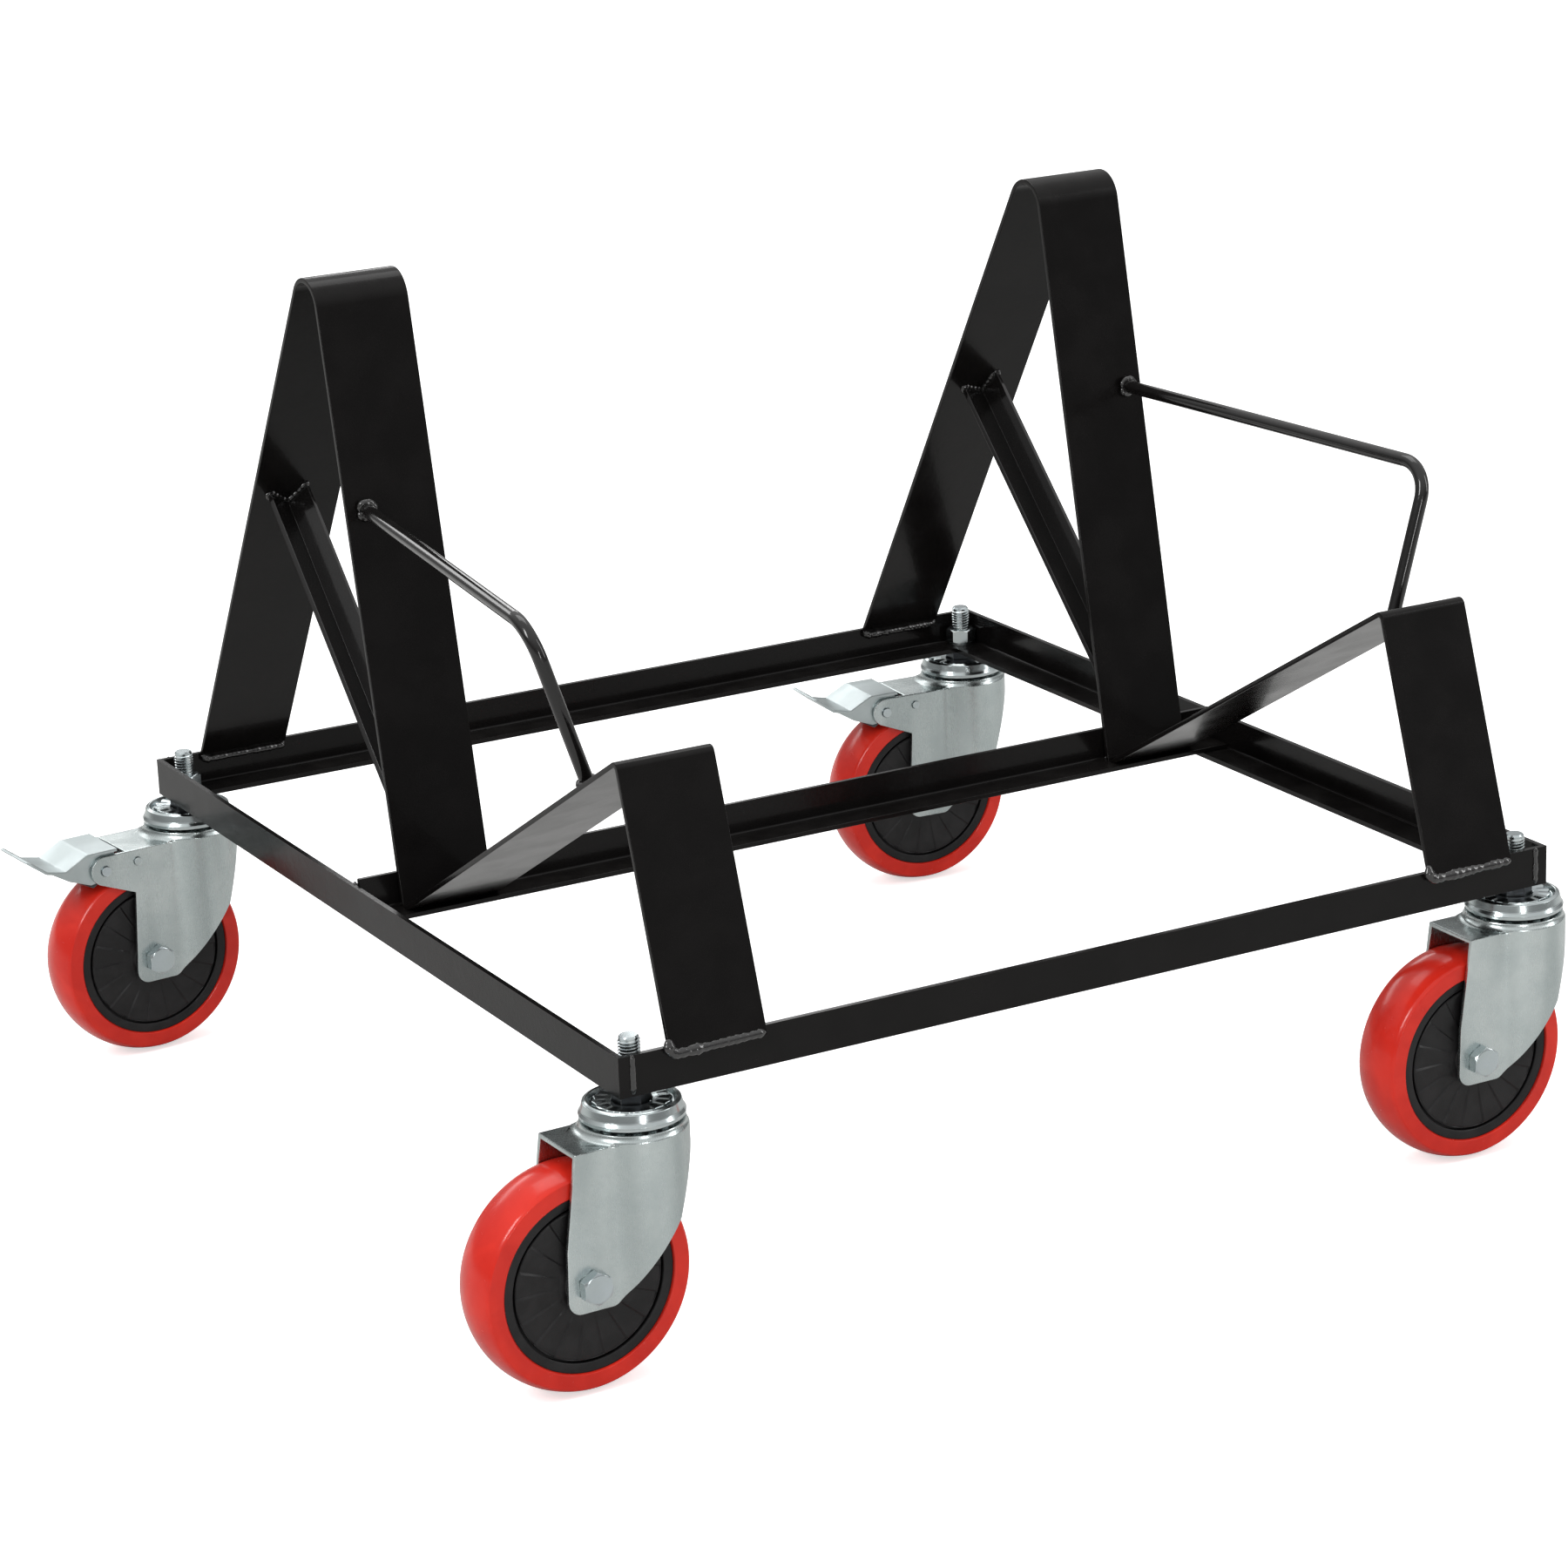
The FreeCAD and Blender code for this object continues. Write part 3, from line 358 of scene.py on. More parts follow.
@dataclass(frozen=True)
class ZincFinish(Finish):
    """Bright zinc plate, slightly blue, with cloudy patches, fine drawn lines, painted edge highlights, and
    long dark streaks that are partly drawn-steel streaking and partly painted reflection shading.
    """

    colour: tuple = (0.60, 0.655, 0.65, 1.0)
    cloud: tuple = (0.52, 0.58, 0.58, 1.0)
    # Dark colour of the long streaks: partly drawn-steel streaking, partly painted reflection shading.
    shade: tuple = (0.36, 0.41, 0.41, 1.0)
    # Near-white edge colour: a painted edge highlight standing in for light caught on the edges, with a
    # little worn plating.
    rubbed: tuple = (0.95, 0.97, 0.96, 1.0)
    roughness: float = 0.27
    banding: float = 0.6
    stretch: tuple = (1.0, 1.0, 0.12)
    depth: float = 0.01

    def material(self) -> bpy.types.Material:
        """Builds the material and returns it."""
        material, nodes, shader = self.start(Metallic=1.0)
        place = nodes.place()
        cloud = nodes.noise(place, 55.0, Detail=4.0, Roughness=0.6)
        spangle = nodes.add("TexVoronoi", Vector=place, Scale=420.0).outputs["Distance"]
        grain = nodes.group(GROUPS.grain(), Stretch=self.stretch, Scale=1300.0)
        edge_mask = nodes.group(GROUPS.edge_rub(), Radius=0.0008, Breakup=160.0, Amount=1.0)
        tint = nodes.blend(nodes.spread(cloud, 0.3, 0.72), self.colour, self.cloud)
        pulled = nodes.add("VectorMath", {"operation": "MULTIPLY"}, in_0=place, in_1=self.stretch).outputs[0]
        # Long dark streaks along the pulled direction: partly drawn-steel streaking, partly painted
        # reflection shading in place of darker surroundings mirrored in the metal.
        streak_and_reflection_bands = nodes.noise(pulled, 48.0, Detail=0.6, Distortion=0.3)
        tint = nodes.blend(nodes.spread(streak_and_reflection_bands, 0.38, 0.68, 0.0, self.banding), tint, self.shade)
        tint = nodes.blend(nodes.math("MULTIPLY", spangle, 0.05), tint, self.rubbed)
        # Painted edge highlight: the edge mask blends the edges fully to the near-white edge colour.
        tint = nodes.blend(edge_mask.outputs["Mask"], tint, self.rubbed)
        rough = nodes.spread(grain.outputs["Tone"], 0.3, 0.7, self.roughness * 0.95, self.roughness * 1.05)
        height = nodes.math("ADD", nodes.math("MULTIPLY", grain.outputs["Height"], 0.4), cloud)
        nodes.fill(shader, Base_Color=tint, Roughness=rough, Normal=nodes.bump(height, self.depth, 0.001))
        return material


@dataclass(frozen=True)
class TreadFinish(Finish):
    """Glossy cast polyurethane with faint flow marks and a little floor dirt in scattered scuffs."""

    colour: tuple = (0.74, 0.030, 0.016, 1.0)
    deep: tuple = (0.62, 0.020, 0.011, 1.0)
    dirt: tuple = (0.38, 0.055, 0.035, 1.0)

    def material(self) -> bpy.types.Material:
        """Builds the material and returns it."""
        material, nodes, shader = self.start(Coat_Weight=0.12, Coat_Roughness=0.06, Subsurface_Weight=0.08,
                                             Subsurface_Scale=0.004, Specular_IOR_Level=0.28,
                                             Subsurface_Radius=(1.0, 0.25, 0.1))
        place = nodes.place()
        flow = nodes.noise(place, 38.0, Detail=3.0, Distortion=0.6)
        fine = nodes.noise(place, 900.0, Detail=3.0)
        scuff = nodes.noise(place, 210.0, Detail=5.0, Roughness=0.7)
        marks = nodes.spread(scuff, 0.6, 0.78, 0.0, 0.16)
        tint = nodes.blend(nodes.spread(flow, 0.3, 0.7), self.colour, self.deep)
        tint = nodes.blend(nodes.math("MULTIPLY", marks, 0.35), tint, self.dirt)
        rough = nodes.math("ADD", nodes.spread(flow, 0.3, 0.7, 0.17, 0.25), marks)
        height = nodes.math("ADD", nodes.math("MULTIPLY", fine, 0.12), flow)
        nodes.fill(shader, Base_Color=tint, Roughness=rough, Normal=nodes.bump(height, 0.05, 0.002))
        return material


@dataclass(frozen=True)
class PlasticFinish(Finish):
    """Moulded black nylon with a fine spark-eroded texture."""

    colour: tuple = (0.0085, 0.008, 0.0085, 1.0)
    scuffed: tuple = (0.03, 0.029, 0.03, 1.0)
    roughness: float = 0.4

    def material(self) -> bpy.types.Material:
        """Builds the material and returns it."""
        material, nodes, shader = self.start(Specular_IOR_Level=0.3)
        place = nodes.place()
        pits = nodes.add("TexVoronoi", {"feature": "SMOOTH_F1"}, Vector=place, Scale=1700.0)
        cloud = nodes.noise(place, 80.0, Detail=4.0)
        edge_mask = nodes.group(GROUPS.edge_rub(), Radius=0.0005, Breakup=650.0, Amount=0.5)
        tint = nodes.blend(nodes.spread(cloud, 0.35, 0.7, 0.0, 0.35), self.colour, self.scuffed)
        tint = nodes.blend(edge_mask.outputs["Mask"], tint, self.scuffed)
        rough = nodes.spread(cloud, 0.3, 0.7, self.roughness * 0.85, self.roughness * 1.2)
        nodes.fill(shader, Base_Color=tint, Roughness=rough,
                   Normal=nodes.bump(pits.outputs["Distance"], 0.12, 0.0005))
        return material


@dataclass(frozen=True)
class FloorFinish(Finish):
    """Pale matt studio floor."""

    colour: tuple = (0.93, 0.93, 0.925, 1.0)
    mirrored: tuple = (0.62, 0.62, 0.61, 1.0)
    glow: float = 0.6

    def material(self) -> bpy.types.Material:
        """Builds the material: bright to look at, and greyer where the object mirrors it.

        Returns:
            The floor.
        """
        material, nodes, shader = self.start(Roughness=0.75, Specular_IOR_Level=0.1,
                                             Emission_Strength=self.glow,
                                             Emission_Color=(1.0, 1.0, 1.0, 1.0))
        cloud = nodes.noise(nodes.place(), 3.0, Detail=3.0)
        nodes.fill(shader, Base_Color=nodes.blend(cloud, self.colour, self.toned(0.985)))
        grey = nodes.add("BsdfDiffuse", Color=self.mirrored)
        seen = nodes.add("LightPath").outputs["Is Camera Ray"]
        either = nodes.add("MixShader", in_0=seen, in_1=grey.outputs[0], in_2=shader.outputs[0])
        nodes.fill(material.node_tree.nodes["Material Output"], Surface=either.outputs[0])
        return material


class Finishes:
    """The dolly's finishes, each made once."""

    def __init__(self) -> None:
        """Builds every material."""
        self.paint = PaintFinish("gloss_black_paint").material()
        self.weld = PaintFinish("painted_weld", peel_scale=700.0, peel_depth=0.2, sheen_level=0.6, coat=0.8,
                                lumpy=1.5).material()
        self.wet_paint = PaintFinish("thick_black_paint", roughness=0.16, peel_depth=0.14, sheen_level=0.3,
                                     coat=0.55).material()
        # Zinc finishes: each edge colour is a painted edge highlight, and each streak strength and dark
        # streak colour is partly painted reflection shading.
        self.zinc = ZincFinish("zinc_plate").material()
        self.thread = ZincFinish("zinc_fastener", roughness=0.22, stretch=(1.0, 1.0, 1.0),
                                 colour=(0.54, 0.60, 0.63, 1.0), banding=0.25).material()
        self.race = ZincFinish("zinc_race", roughness=0.2, stretch=(1.0, 1.0, 1.0), banding=0.12,
                               colour=(0.50, 0.55, 0.56, 1.0)).material()
        self.pedal = ZincFinish("zinc_pedal", roughness=0.34, stretch=(0.3, 1.0, 1.0), banding=0.5,
                                colour=(0.56, 0.62, 0.625, 1.0), cloud=(0.50, 0.56, 0.565, 1.0),
                                rubbed=(0.74, 0.78, 0.78, 1.0)).material()
        self.dark = ZincFinish("dark_pressed_steel", roughness=0.38, colour=(0.10, 0.105, 0.11, 1.0),
                               cloud=(0.06, 0.062, 0.07, 1.0), shade=(0.04, 0.042, 0.045, 1.0),
                               rubbed=(0.35, 0.35, 0.36, 1.0)).material()
        self.tread = TreadFinish("red_polyurethane").material()
        self.core = PlasticFinish("black_nylon").material()


# ---- mesh helpers


def finish_piece(name: str, mesh: bmesh.types.BMesh, body: str, material: bpy.types.Material,
                 replaces: tuple = (), sharp: float = 35.0, weighted: bool = True,
                 move: Optional[Matrix] = None) -> None:
    """Turns a bmesh into a piece that rides on a body.

    Args:
        name: the piece's name.
        mesh: the finished bmesh; it is freed.
        body: the body that it rides on.
        material: its finish.
        replaces: CAD nodes that it stands for.
        sharp: edges that turn more than this many degrees stay sharp.
        weighted: whether large faces keep their own normal.
        move: where the mesh goes, if it isn't in place yet.
    """
    if move is not None:
        bmesh.ops.transform(mesh, matrix=move, verts=mesh.verts)
    data = bpy.data.meshes.new(name)
    mesh.normal_update()
    for face in mesh.faces:
        face.smooth = True
    for edge in mesh.edges:
        if edge.is_manifold and edge.calc_face_angle(0.0) > math.radians(sharp):
            edge.smooth = False
    mesh.to_mesh(data)
    mesh.free()
    piece = bpy.data.objects.new(name, data)
    bpy.context.scene.collection.objects.link(piece)
    data.materials.append(material)
    if weighted:
        modifier = piece.modifiers.new("even_normals", "WEIGHTED_NORMAL")
        modifier.keep_sharp = True
        modifier.weight = 60
    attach(piece, body)
    if replaces:
        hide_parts(*replaces)
    LOG.info("%s: %d faces on %s", name, len(data.polygons), body)


def repaint(node: str, material: bpy.types.Material) -> None:
    """Gives a CAD node that stays its finish.

    Args:
        node: the CAD node.
        material: its finish.
    """
    slots = frame["nodes"][node].data.materials
    slots.clear()
    slots.append(material)


def merged_copy(node: str) -> bmesh.types.BMesh:
    """Copies a CAD node's mesh, with its points merged and its flat faces whole.

    Args:
        node: the CAD node.

    Returns:
        The copy.
    """
    mesh = bmesh.new()
    mesh.from_mesh(frame["nodes"][node].data)
    bmesh.ops.remove_doubles(mesh, verts=mesh.verts, dist=SAME_POINT)
    bmesh.ops.dissolve_limit(mesh, angle_limit=FLAT_TURN, verts=mesh.verts, edges=mesh.edges)
    return mesh


def softened(node: str, width: float, segments: int = 2, least_turn: float = 28.0,
             clamped: bool = True) -> bmesh.types.BMesh:
    """Copies a CAD node's mesh and rounds its corners.

    Args:
        node: the CAD node.
        width: how wide the rounding is.
        segments: how many steps it has.
        least_turn: edges that turn less than this many degrees stay as they are.
        clamped: whether the rounding shrinks where faces are too narrow for it.

    Returns:
        The rounded copy.
    """
    mesh, shortest = merged_copy(node), 1e-5
    chosen = [e for e in mesh.edges if e.is_manifold and e.calc_face_angle(0.0) > math.radians(least_turn)
              and e.calc_length() > shortest]
    bmesh.ops.bevel(mesh, geom=chosen, offset=width, offset_type="OFFSET", segments=segments, profile=0.5,
                    affect="EDGES", clamp_overlap=clamped, material=-1, loop_slide=True)
    bmesh.ops.triangulate(mesh, faces=[f for f in mesh.faces if len(f.verts) > 4])
    return mesh


def spin_profile(points: list, steps: int, closed: bool = False) -> bmesh.types.BMesh:
    """Spins a profile about Z.

    Args:
        points: (radius, height) pairs, one after the other.
        steps: how many steps go round.
        closed: whether the last point joins the first.

    Returns:
        The spun shape, with its poles merged and its faces outward.
    """
    mesh = bmesh.new()
    ring = [mesh.verts.new((r, 0.0, z)) for r, z in points]
    pairs = list(zip(ring, ring[1:])) + ([(ring[-1], ring[0])] if closed else [])
    edges = [mesh.edges.new(pair) for pair in pairs]
    bmesh.ops.spin(mesh, geom=ring + edges, cent=(0, 0, 0), axis=(0, 0, 1), angle=math.tau, steps=steps,
                   use_merge=True)
    bmesh.ops.remove_doubles(mesh, verts=mesh.verts, dist=1e-7)
    bmesh.ops.recalc_face_normals(mesh, faces=mesh.faces)
    return mesh


def in_metres(points: list) -> list:
    """Turns (radius, height) pairs from millimetres into metres."""
    return [(r * MM, z * MM) for r, z in points]


def rounded_profile(corners: tuple, segments: int = 4) -> list:
    """Rounds the corners of a profile.

    Args:
        corners: (x, y, radius) of each corner in millimetres, one after the other.
        segments: how many steps each round has.

    Returns:
        The (x, y) points in metres.
    """
    points = []
    last = len(corners) - 1
    for index, (x, y, radius) in enumerate(corners):
        here = Vector((x, y))
        if radius == 0 or index in (0, last):
            points.append((x, y))
            continue
        before = (Vector(corners[index - 1][:2]) - here).normalized()
        after = (Vector(corners[index + 1][:2]) - here).normalized()
        half = before.angle(after) / 2
        reach = radius / math.tan(half)
        centre = here + (before + after).normalized() * (radius / math.sin(half))
        first, final = here + before * reach - centre, here + after * reach - centre
        for step in range(segments + 1):
            arm = first.slerp(final, step / segments) if first.angle(final) > 1e-4 else first
            points.append(tuple(centre + arm))
    return in_metres(points)


def hexagon_block(flats: float, low: float, high: float, bore: float, chamfer: float) -> bmesh.types.BMesh:
    """A hexagon about Z with a bore and domed corners.

    Args:
        flats: distance between flats.
        low: height of its underside.
        high: height of its top.
        bore: radius of its bore; 0 for none.
        chamfer: slope of its domed ends.

    Returns:
        The block.
    """
    mesh = bmesh.new()
    apothem, sixth = flats / 2, math.tau / 6
    round_face, hole = apothem * 0.96, bore or apothem * 0.9
    ring = bmesh.ops.create_circle(mesh, segments=48, radius=hole)["verts"]
    bmesh.ops.translate(mesh, vec=(0, 0, low), verts=ring)
    edges = list({edge for vert in ring for edge in vert.link_edges})
    for height, hexed in ((low, False), (low, True), (high, True), (high, False), (high, None)):
        grown = bmesh.ops.extrude_edge_only(mesh, edges=edges)["geom"]
        verts = [item for item in grown if isinstance(item, bmesh.types.BMVert)]
        edges = [item for item in grown if isinstance(item, bmesh.types.BMEdge)]
        inward = 1 if height == low else -1
        for vert in verts:
            angle = math.atan2(vert.co.y, vert.co.x)
            off = (angle + sixth / 2) % sixth - sixth / 2
            reach = {True: apothem / math.cos(off), False: round_face, None: hole}[hexed]
            drop = (reach - round_face) * chamfer if hexed else 0.0
            vert.co = Vector((reach * math.cos(angle), reach * math.sin(angle), height + inward * drop))
    rim = [edge for edge in mesh.edges if edge.is_boundary]
    if bore:
        bmesh.ops.bridge_loops(mesh, edges=rim)
    else:
        bmesh.ops.holes_fill(mesh, edges=rim)
    bmesh.ops.recalc_face_normals(mesh, faces=mesh.faces)
    return mesh


def helix_thread(outer: float, depth: float, pitch: float, low: float, high: float,
                 steps: int = 28) -> bmesh.types.BMesh:
    """A threaded rod about Z: one thread profile spun along a helix, over a plain core.

    Args:
        outer: radius over the crests.
        depth: how deep the thread is.
        pitch: rise of one turn.
        low: height where the rod starts.
        high: height of its chamfered end.
        steps: steps in a turn.

    Returns:
        The rod.
    """
    root = outer - depth
    buried = root - depth * 0.5
    turns = int((high - low) / pitch) - 1
    mesh = bmesh.new()
    ridge = ((buried, 0.04), (root, 0.1), (outer, 0.44), (outer, 0.56), (root, 0.9), (buried, 0.96))
    section = [mesh.verts.new((r, 0.0, low + part * pitch)) for r, part in ridge]
    edges = [mesh.edges.new(p) for p in zip(section, section[1:] + section[:1])]
    face = bmesh.ops.contextual_create(mesh, geom=edges)["faces"]
    bmesh.ops.spin(mesh, geom=section + edges + face, cent=(0, 0, 0), axis=(0, 0, 1),
                   dvec=(0, 0, pitch / steps), angle=math.tau * turns, steps=steps * turns)
    bmesh.ops.holes_fill(mesh, edges=[e for e in mesh.edges if e.is_boundary])
    core = root + depth * 0.2
    join_into(mesh, spin_profile([(0, low), (core, low), (core, high - depth * 1.2),
                                  (root - depth * 0.8, high), (0, high)], steps))
    bmesh.ops.recalc_face_normals(mesh, faces=mesh.faces)
    return mesh


def join_into(mesh: bmesh.types.BMesh, other: bmesh.types.BMesh, move: Optional[Matrix] = None) -> None:
    """Adds another bmesh to a mesh and frees it.

    Args:
        mesh: the mesh that grows.
        other: the mesh to add.
        move: where the other one goes.
    """
    if move is not None:
        bmesh.ops.transform(other, matrix=move, verts=other.verts)
    data = bpy.data.meshes.new("part")
    other.to_mesh(data)
    other.free()
    mesh.from_mesh(data)
    bpy.data.meshes.remove(data)


def weld_bead(path: list, radius: float, squash: float, up: Vector, seed: int,
              ripple: float = 0.0028) -> bmesh.types.BMesh:
    """A weld bead along a path, with ripples, and closed ends.

    Args:
        path: the points that its middle follows.
        radius: half its width.
        squash: its height over its width.
        up: the direction that it stands out in.
        seed: seed of its unevenness.
        ripple: distance between ripples.

    Returns:
        The bead.
    """
    rng = random.Random(seed)
    steps_in_ripple, around, fall, unevenness, end_taper = 5, 14, 0.2, 0.24, 1.3
    lengths = [0.0]
    for first, second in zip(path, path[1:]):
        lengths.append(lengths[-1] + (second - first).length)
    total = lengths[-1]
    along = max(12, int(total / ripple * steps_in_ripple))
    wobble = [rng.uniform(-1, 1) for _ in range(int(total / ripple) + 3)]
    mesh = bmesh.new()
    bmesh.ops.create_grid(mesh, x_segments=along, y_segments=around, size=1.0)
    for vert in mesh.verts:
        t, turn = (vert.co.x + 1) / 2, (vert.co.y + 1) * math.pi
        distance = t * total
        leg = next(i for i in range(len(path) - 1) if distance <= lengths[i + 1] + 1e-9)
        start, end = path[leg], path[leg + 1]
        here = start.lerp(end, (distance - lengths[leg]) / (lengths[leg + 1] - lengths[leg]))
        ahead = (end - start).normalized()
        across = ahead.cross(up).normalized()
        out = across.cross(ahead).normalized()
        cell = distance / ripple
        phase = cell - math.floor(cell)
        wave = 1.0 - fall * phase ** 2
        uneven = 1.0 + unevenness * (wobble[int(cell)] * (1 - phase) + wobble[int(cell) + 1] * phase)
        taper = min(1.0, math.sqrt(max(0.0, min(t, 1 - t) * total / (radius * end_taper))))
        size = radius * wave * uneven * taper
        vert.co = here + across * (size * math.cos(turn)) + out * (size * squash * math.sin(turn))
    bmesh.ops.remove_doubles(mesh, verts=mesh.verts, dist=SAME_POINT)
    bmesh.ops.recalc_face_normals(mesh, faces=mesh.faces)
    return mesh


# ---- casters

# Profiles in millimetres: (radius, height) or (radius, height, rounding). Heights of the race, the pin and
# the washer are over the floor; those of the wheel are from its middle.
CUP_SECTION = ((8.08, 149, 0), (21.9, 149, 0.6), (23.9, 151.3, 0.5), (25.7, 151.3, 1.1), (28.72, 147.4, 2.6),
               (28.7, 144.3, 1.5), (27.5, 143, 0.6), (25.5, 143, 0.3), (25.5, 147, 0.8), (8.08, 147, 0))
RACE_RING_SECTION = ((11.0, 149.02, 0), (11.0, 150.3, 0.5), (14.0, 150.9, 0.8), (20.4, 150.5, 0.6),
                     (21.2, 149.02, 0))
HUB_FACE = ((7.58, 17.2, 0), (12.6, 17.2, 0.8), (13.4, 14.6, 0.8), (17.0, 14.0, 1.0), (41.6, 14.4, 0.4),
            (42.1, 13.9, 0.2), (42.3, 11.2, 0.4), (44.2, 11.2, 0.4), (44.6, 14.7, 0.5), (49.0, 15.0, 0.4),
            (49.34, 14.4, 0))
TREAD_SIDE = ((49.4, 15.7, 0), (50.4, 16.0, 0.4), (58.2, 16.0, 0.7))
KING_PIN = ((0, 130.2), (10.1, 130.2), (10.5, 130.8), (10.5, 132.6), (9.6, 133.15), (8.0, 133.2),
            (8.0, 149.3), (0, 149.3))
WASHER_SECTION = ((6.12, 160), (6.12, 162), (8.1, 162), (8.5, 161.7), (8.5, 160.2), (8.3, 160))


@dataclass
class Caster:
    """One swivel caster; its own frame has the stem's axis as Z and the wheel towards -X."""

    corner: Corner
    finishes: Finishes
    wheel_radius: float = 62.5 * MM
    tread_half: float = 16 * MM
    crown_radius: float = 38 * MM
    crown_steps: int = 12
    stem_radius: float = 5.95 * MM
    thread_pitch: float = 1.75 * MM
    thread_depth: float = 0.75 * MM
    thread_low: float = 156.5 * MM
    collar_flats: float = 18 * MM
    collar_low: float = 149 * MM
    collar_high: float = 157 * MM
    axle_flats: float = 16 * MM
    axle_face: float = 20 * MM
    axle_head: float = 26.4 * MM
    axle_nut: float = 28 * MM
    axle_tail: float = 29.5 * MM
    axle_radius: float = 4.95 * MM
    axle_bore: float = 5.05 * MM
    fork_soft: float = 0.7 * MM
    pedal_soft: float = 0.5 * MM
    race_lobes: int = 16
    lobe_start: float = 13 * MM
    lobe_width: float = 8 * MM
    lobe_rise: float = 0.35 * MM
    lobe_cut: float = 0.035
    lobe_height: float = 149.5 * MM
    fan_wedges: int = 18
    fan_depth: float = 0.9 * MM
    fan_inner: float = 16.9 * MM
    fan_outer: float = 42.2 * MM
    fan_height: float = 13 * MM
    fan_fade: float = 9 * MM
    fan_turn: float = 0.02
    domed: float = 0.6

    def __post_init__(self) -> None:
        """Finds the caster's place and turn from the joints."""
        name = self.corner.label
        joints = {joint["name"]: joint for joint in frame["joints"]}
        stem, wheel = joints["swivel_turn_" + name], joints["wheel_spin_" + name]
        turn = math.atan2(-wheel["axis"][0], wheel["axis"][1])
        spot = (stem["pos_m"][0], stem["pos_m"][1], 0)
        self.to_stem = Matrix.Translation(spot) @ Matrix.Rotation(turn, 4, "Z")
        self.to_wheel = (Matrix.Translation(Vector(wheel["pos_m"])) @ Matrix.Rotation(turn, 4, "Z")
                         @ Matrix.Rotation(math.radians(90), 4, "X"))

    def build(self) -> None:
        """Builds and dresses every piece of the caster."""
        self.dress_cad()
        self.press_fork()
        self.roll_cup()
        self.build_tread()
        self.build_core()
        self.build_stem()
        self.build_axle()
        if self.corner.braked:
            self.press_pedal()

    def dress_cad(self) -> None:
        """Gives the CAD nodes of this corner that stay their finish."""
        kept = ["axle_bush"] + (["pedal_pin", "stop_pin"] if self.corner.braked else [])
        for label in kept:
            repaint(f"{label}_{self.corner.label}", self.finishes.thread)

    def press_fork(self) -> None:
        """Rounds the edges of the pressed fork."""
        name = self.corner.label
        mesh = softened(f"fork_{name}", self.fork_soft, clamped=False)
        finish_piece(f"fork_{name}_pressed", mesh, f"swivel_{name}", self.finishes.zinc,
                     (f"fork_{name}",))

    def press_pedal(self) -> None:
        """Rounds the edges of the brake pedal and of its shoe."""
        name = self.corner.label
        for label, slot, look in (("brake_pedal", "zinc", self.finishes.pedal),
                                  ("brake_shoe", "dark_steel", self.finishes.dark)):
            mesh = softened(f"{label}_{name}", self.pedal_soft, clamped=False)
            finish_piece(f"{label}_{name}_pressed", mesh, f"pedal_{name}", look, (f"{label}_{name}",))

    def roll_cup(self) -> None:
        """Rolls the fixed race's cup, and sets the notched ring that lies in its dish."""
        name = self.corner.label
        mesh = spin_profile(rounded_profile(CUP_SECTION, 5), 96, closed=True)
        finish_piece(f"cup_{name}_rolled", mesh, "frame", self.finishes.race, (f"cup_{name}",),
                     sharp=50, move=self.to_stem)
        mesh = spin_profile(rounded_profile(RACE_RING_SECTION, 3), self.race_lobes * 10, closed=True)
        for vert in mesh.verts:
            turn = math.atan2(vert.co.y, vert.co.x) * self.race_lobes
            away = max(0.0, (Vector(vert.co[:2]).length - self.lobe_start) / self.lobe_width)
            vert.co.z += self.lobe_rise * away * math.cos(turn) * (vert.co.z > self.lobe_height)
            vert.co.xy *= 1 - self.lobe_cut * away * (1 - math.cos(turn))
        finish_piece(f"race_ring_{name}", mesh, "frame", self.finishes.thread, sharp=60,
                     move=self.to_stem)

    def build_tread(self) -> None:
        """Spins the tread: flat sides, a tight shoulder and an even crown."""
        middle = self.wheel_radius - self.crown_radius
        start = math.asin(self.tread_half * 0.95 / self.crown_radius)
        turns = [start * (1 - step / self.crown_steps) for step in range(self.crown_steps + 1)]
        crown = [(middle + self.crown_radius * math.cos(turn), self.crown_radius * math.sin(turn))
                 for turn in turns]
        shoulder = (crown[0][0] / MM, crown[0][1] / MM, 0)
        profile = rounded_profile(TREAD_SIDE + (shoulder,)) + crown[1:]
        profile += [(r, -z) for r, z in reversed(profile[:-1])]
        mesh = spin_profile(profile, 160, closed=True)
        name = self.corner.label
        finish_piece(f"tread_{name}_cast", mesh, f"wheel_{name}", self.finishes.tread,
                     (f"tread_{name}",), sharp=50, move=self.to_wheel)

    def build_core(self) -> None:
        """Spins the hub's disc, outer ring and groove, and cuts the disc into shallow wedges."""
        half_profile = rounded_profile(HUB_FACE, 3)
        profile = half_profile + [(r, -z) for r, z in reversed(half_profile)]
        mesh = spin_profile(profile, self.fan_wedges * 12, closed=True)
        disc = 15 * MM
        radial = [edge for edge in mesh.edges
                  if abs(Vector(edge.verts[0].co[:2]).length - Vector(edge.verts[1].co[:2]).length) > disc]
        bmesh.ops.subdivide_edges(mesh, edges=radial, cuts=6, use_grid_fill=False)
        fade_start = HUB_FACE[3][0] * MM
        for vert in mesh.verts:
            radius = Vector(vert.co[:2]).length
            if not (self.fan_inner < radius < self.fan_outer and abs(vert.co.z) > self.fan_height):
                continue
            wedge = (math.atan2(vert.co.y, vert.co.x) / math.tau * self.fan_wedges + self.fan_turn) % 1.0
            fade = min(1.0, max(0.0, (radius - fade_start) / self.fan_fade))
            vert.co.z -= math.copysign(self.fan_depth * wedge * fade, vert.co.z)
        name = self.corner.label
        finish_piece(f"wheel_core_{name}_moulded", mesh, f"wheel_{name}", self.finishes.core,
                     (f"wheel_core_{name}",), sharp=24, weighted=False, move=self.to_wheel)

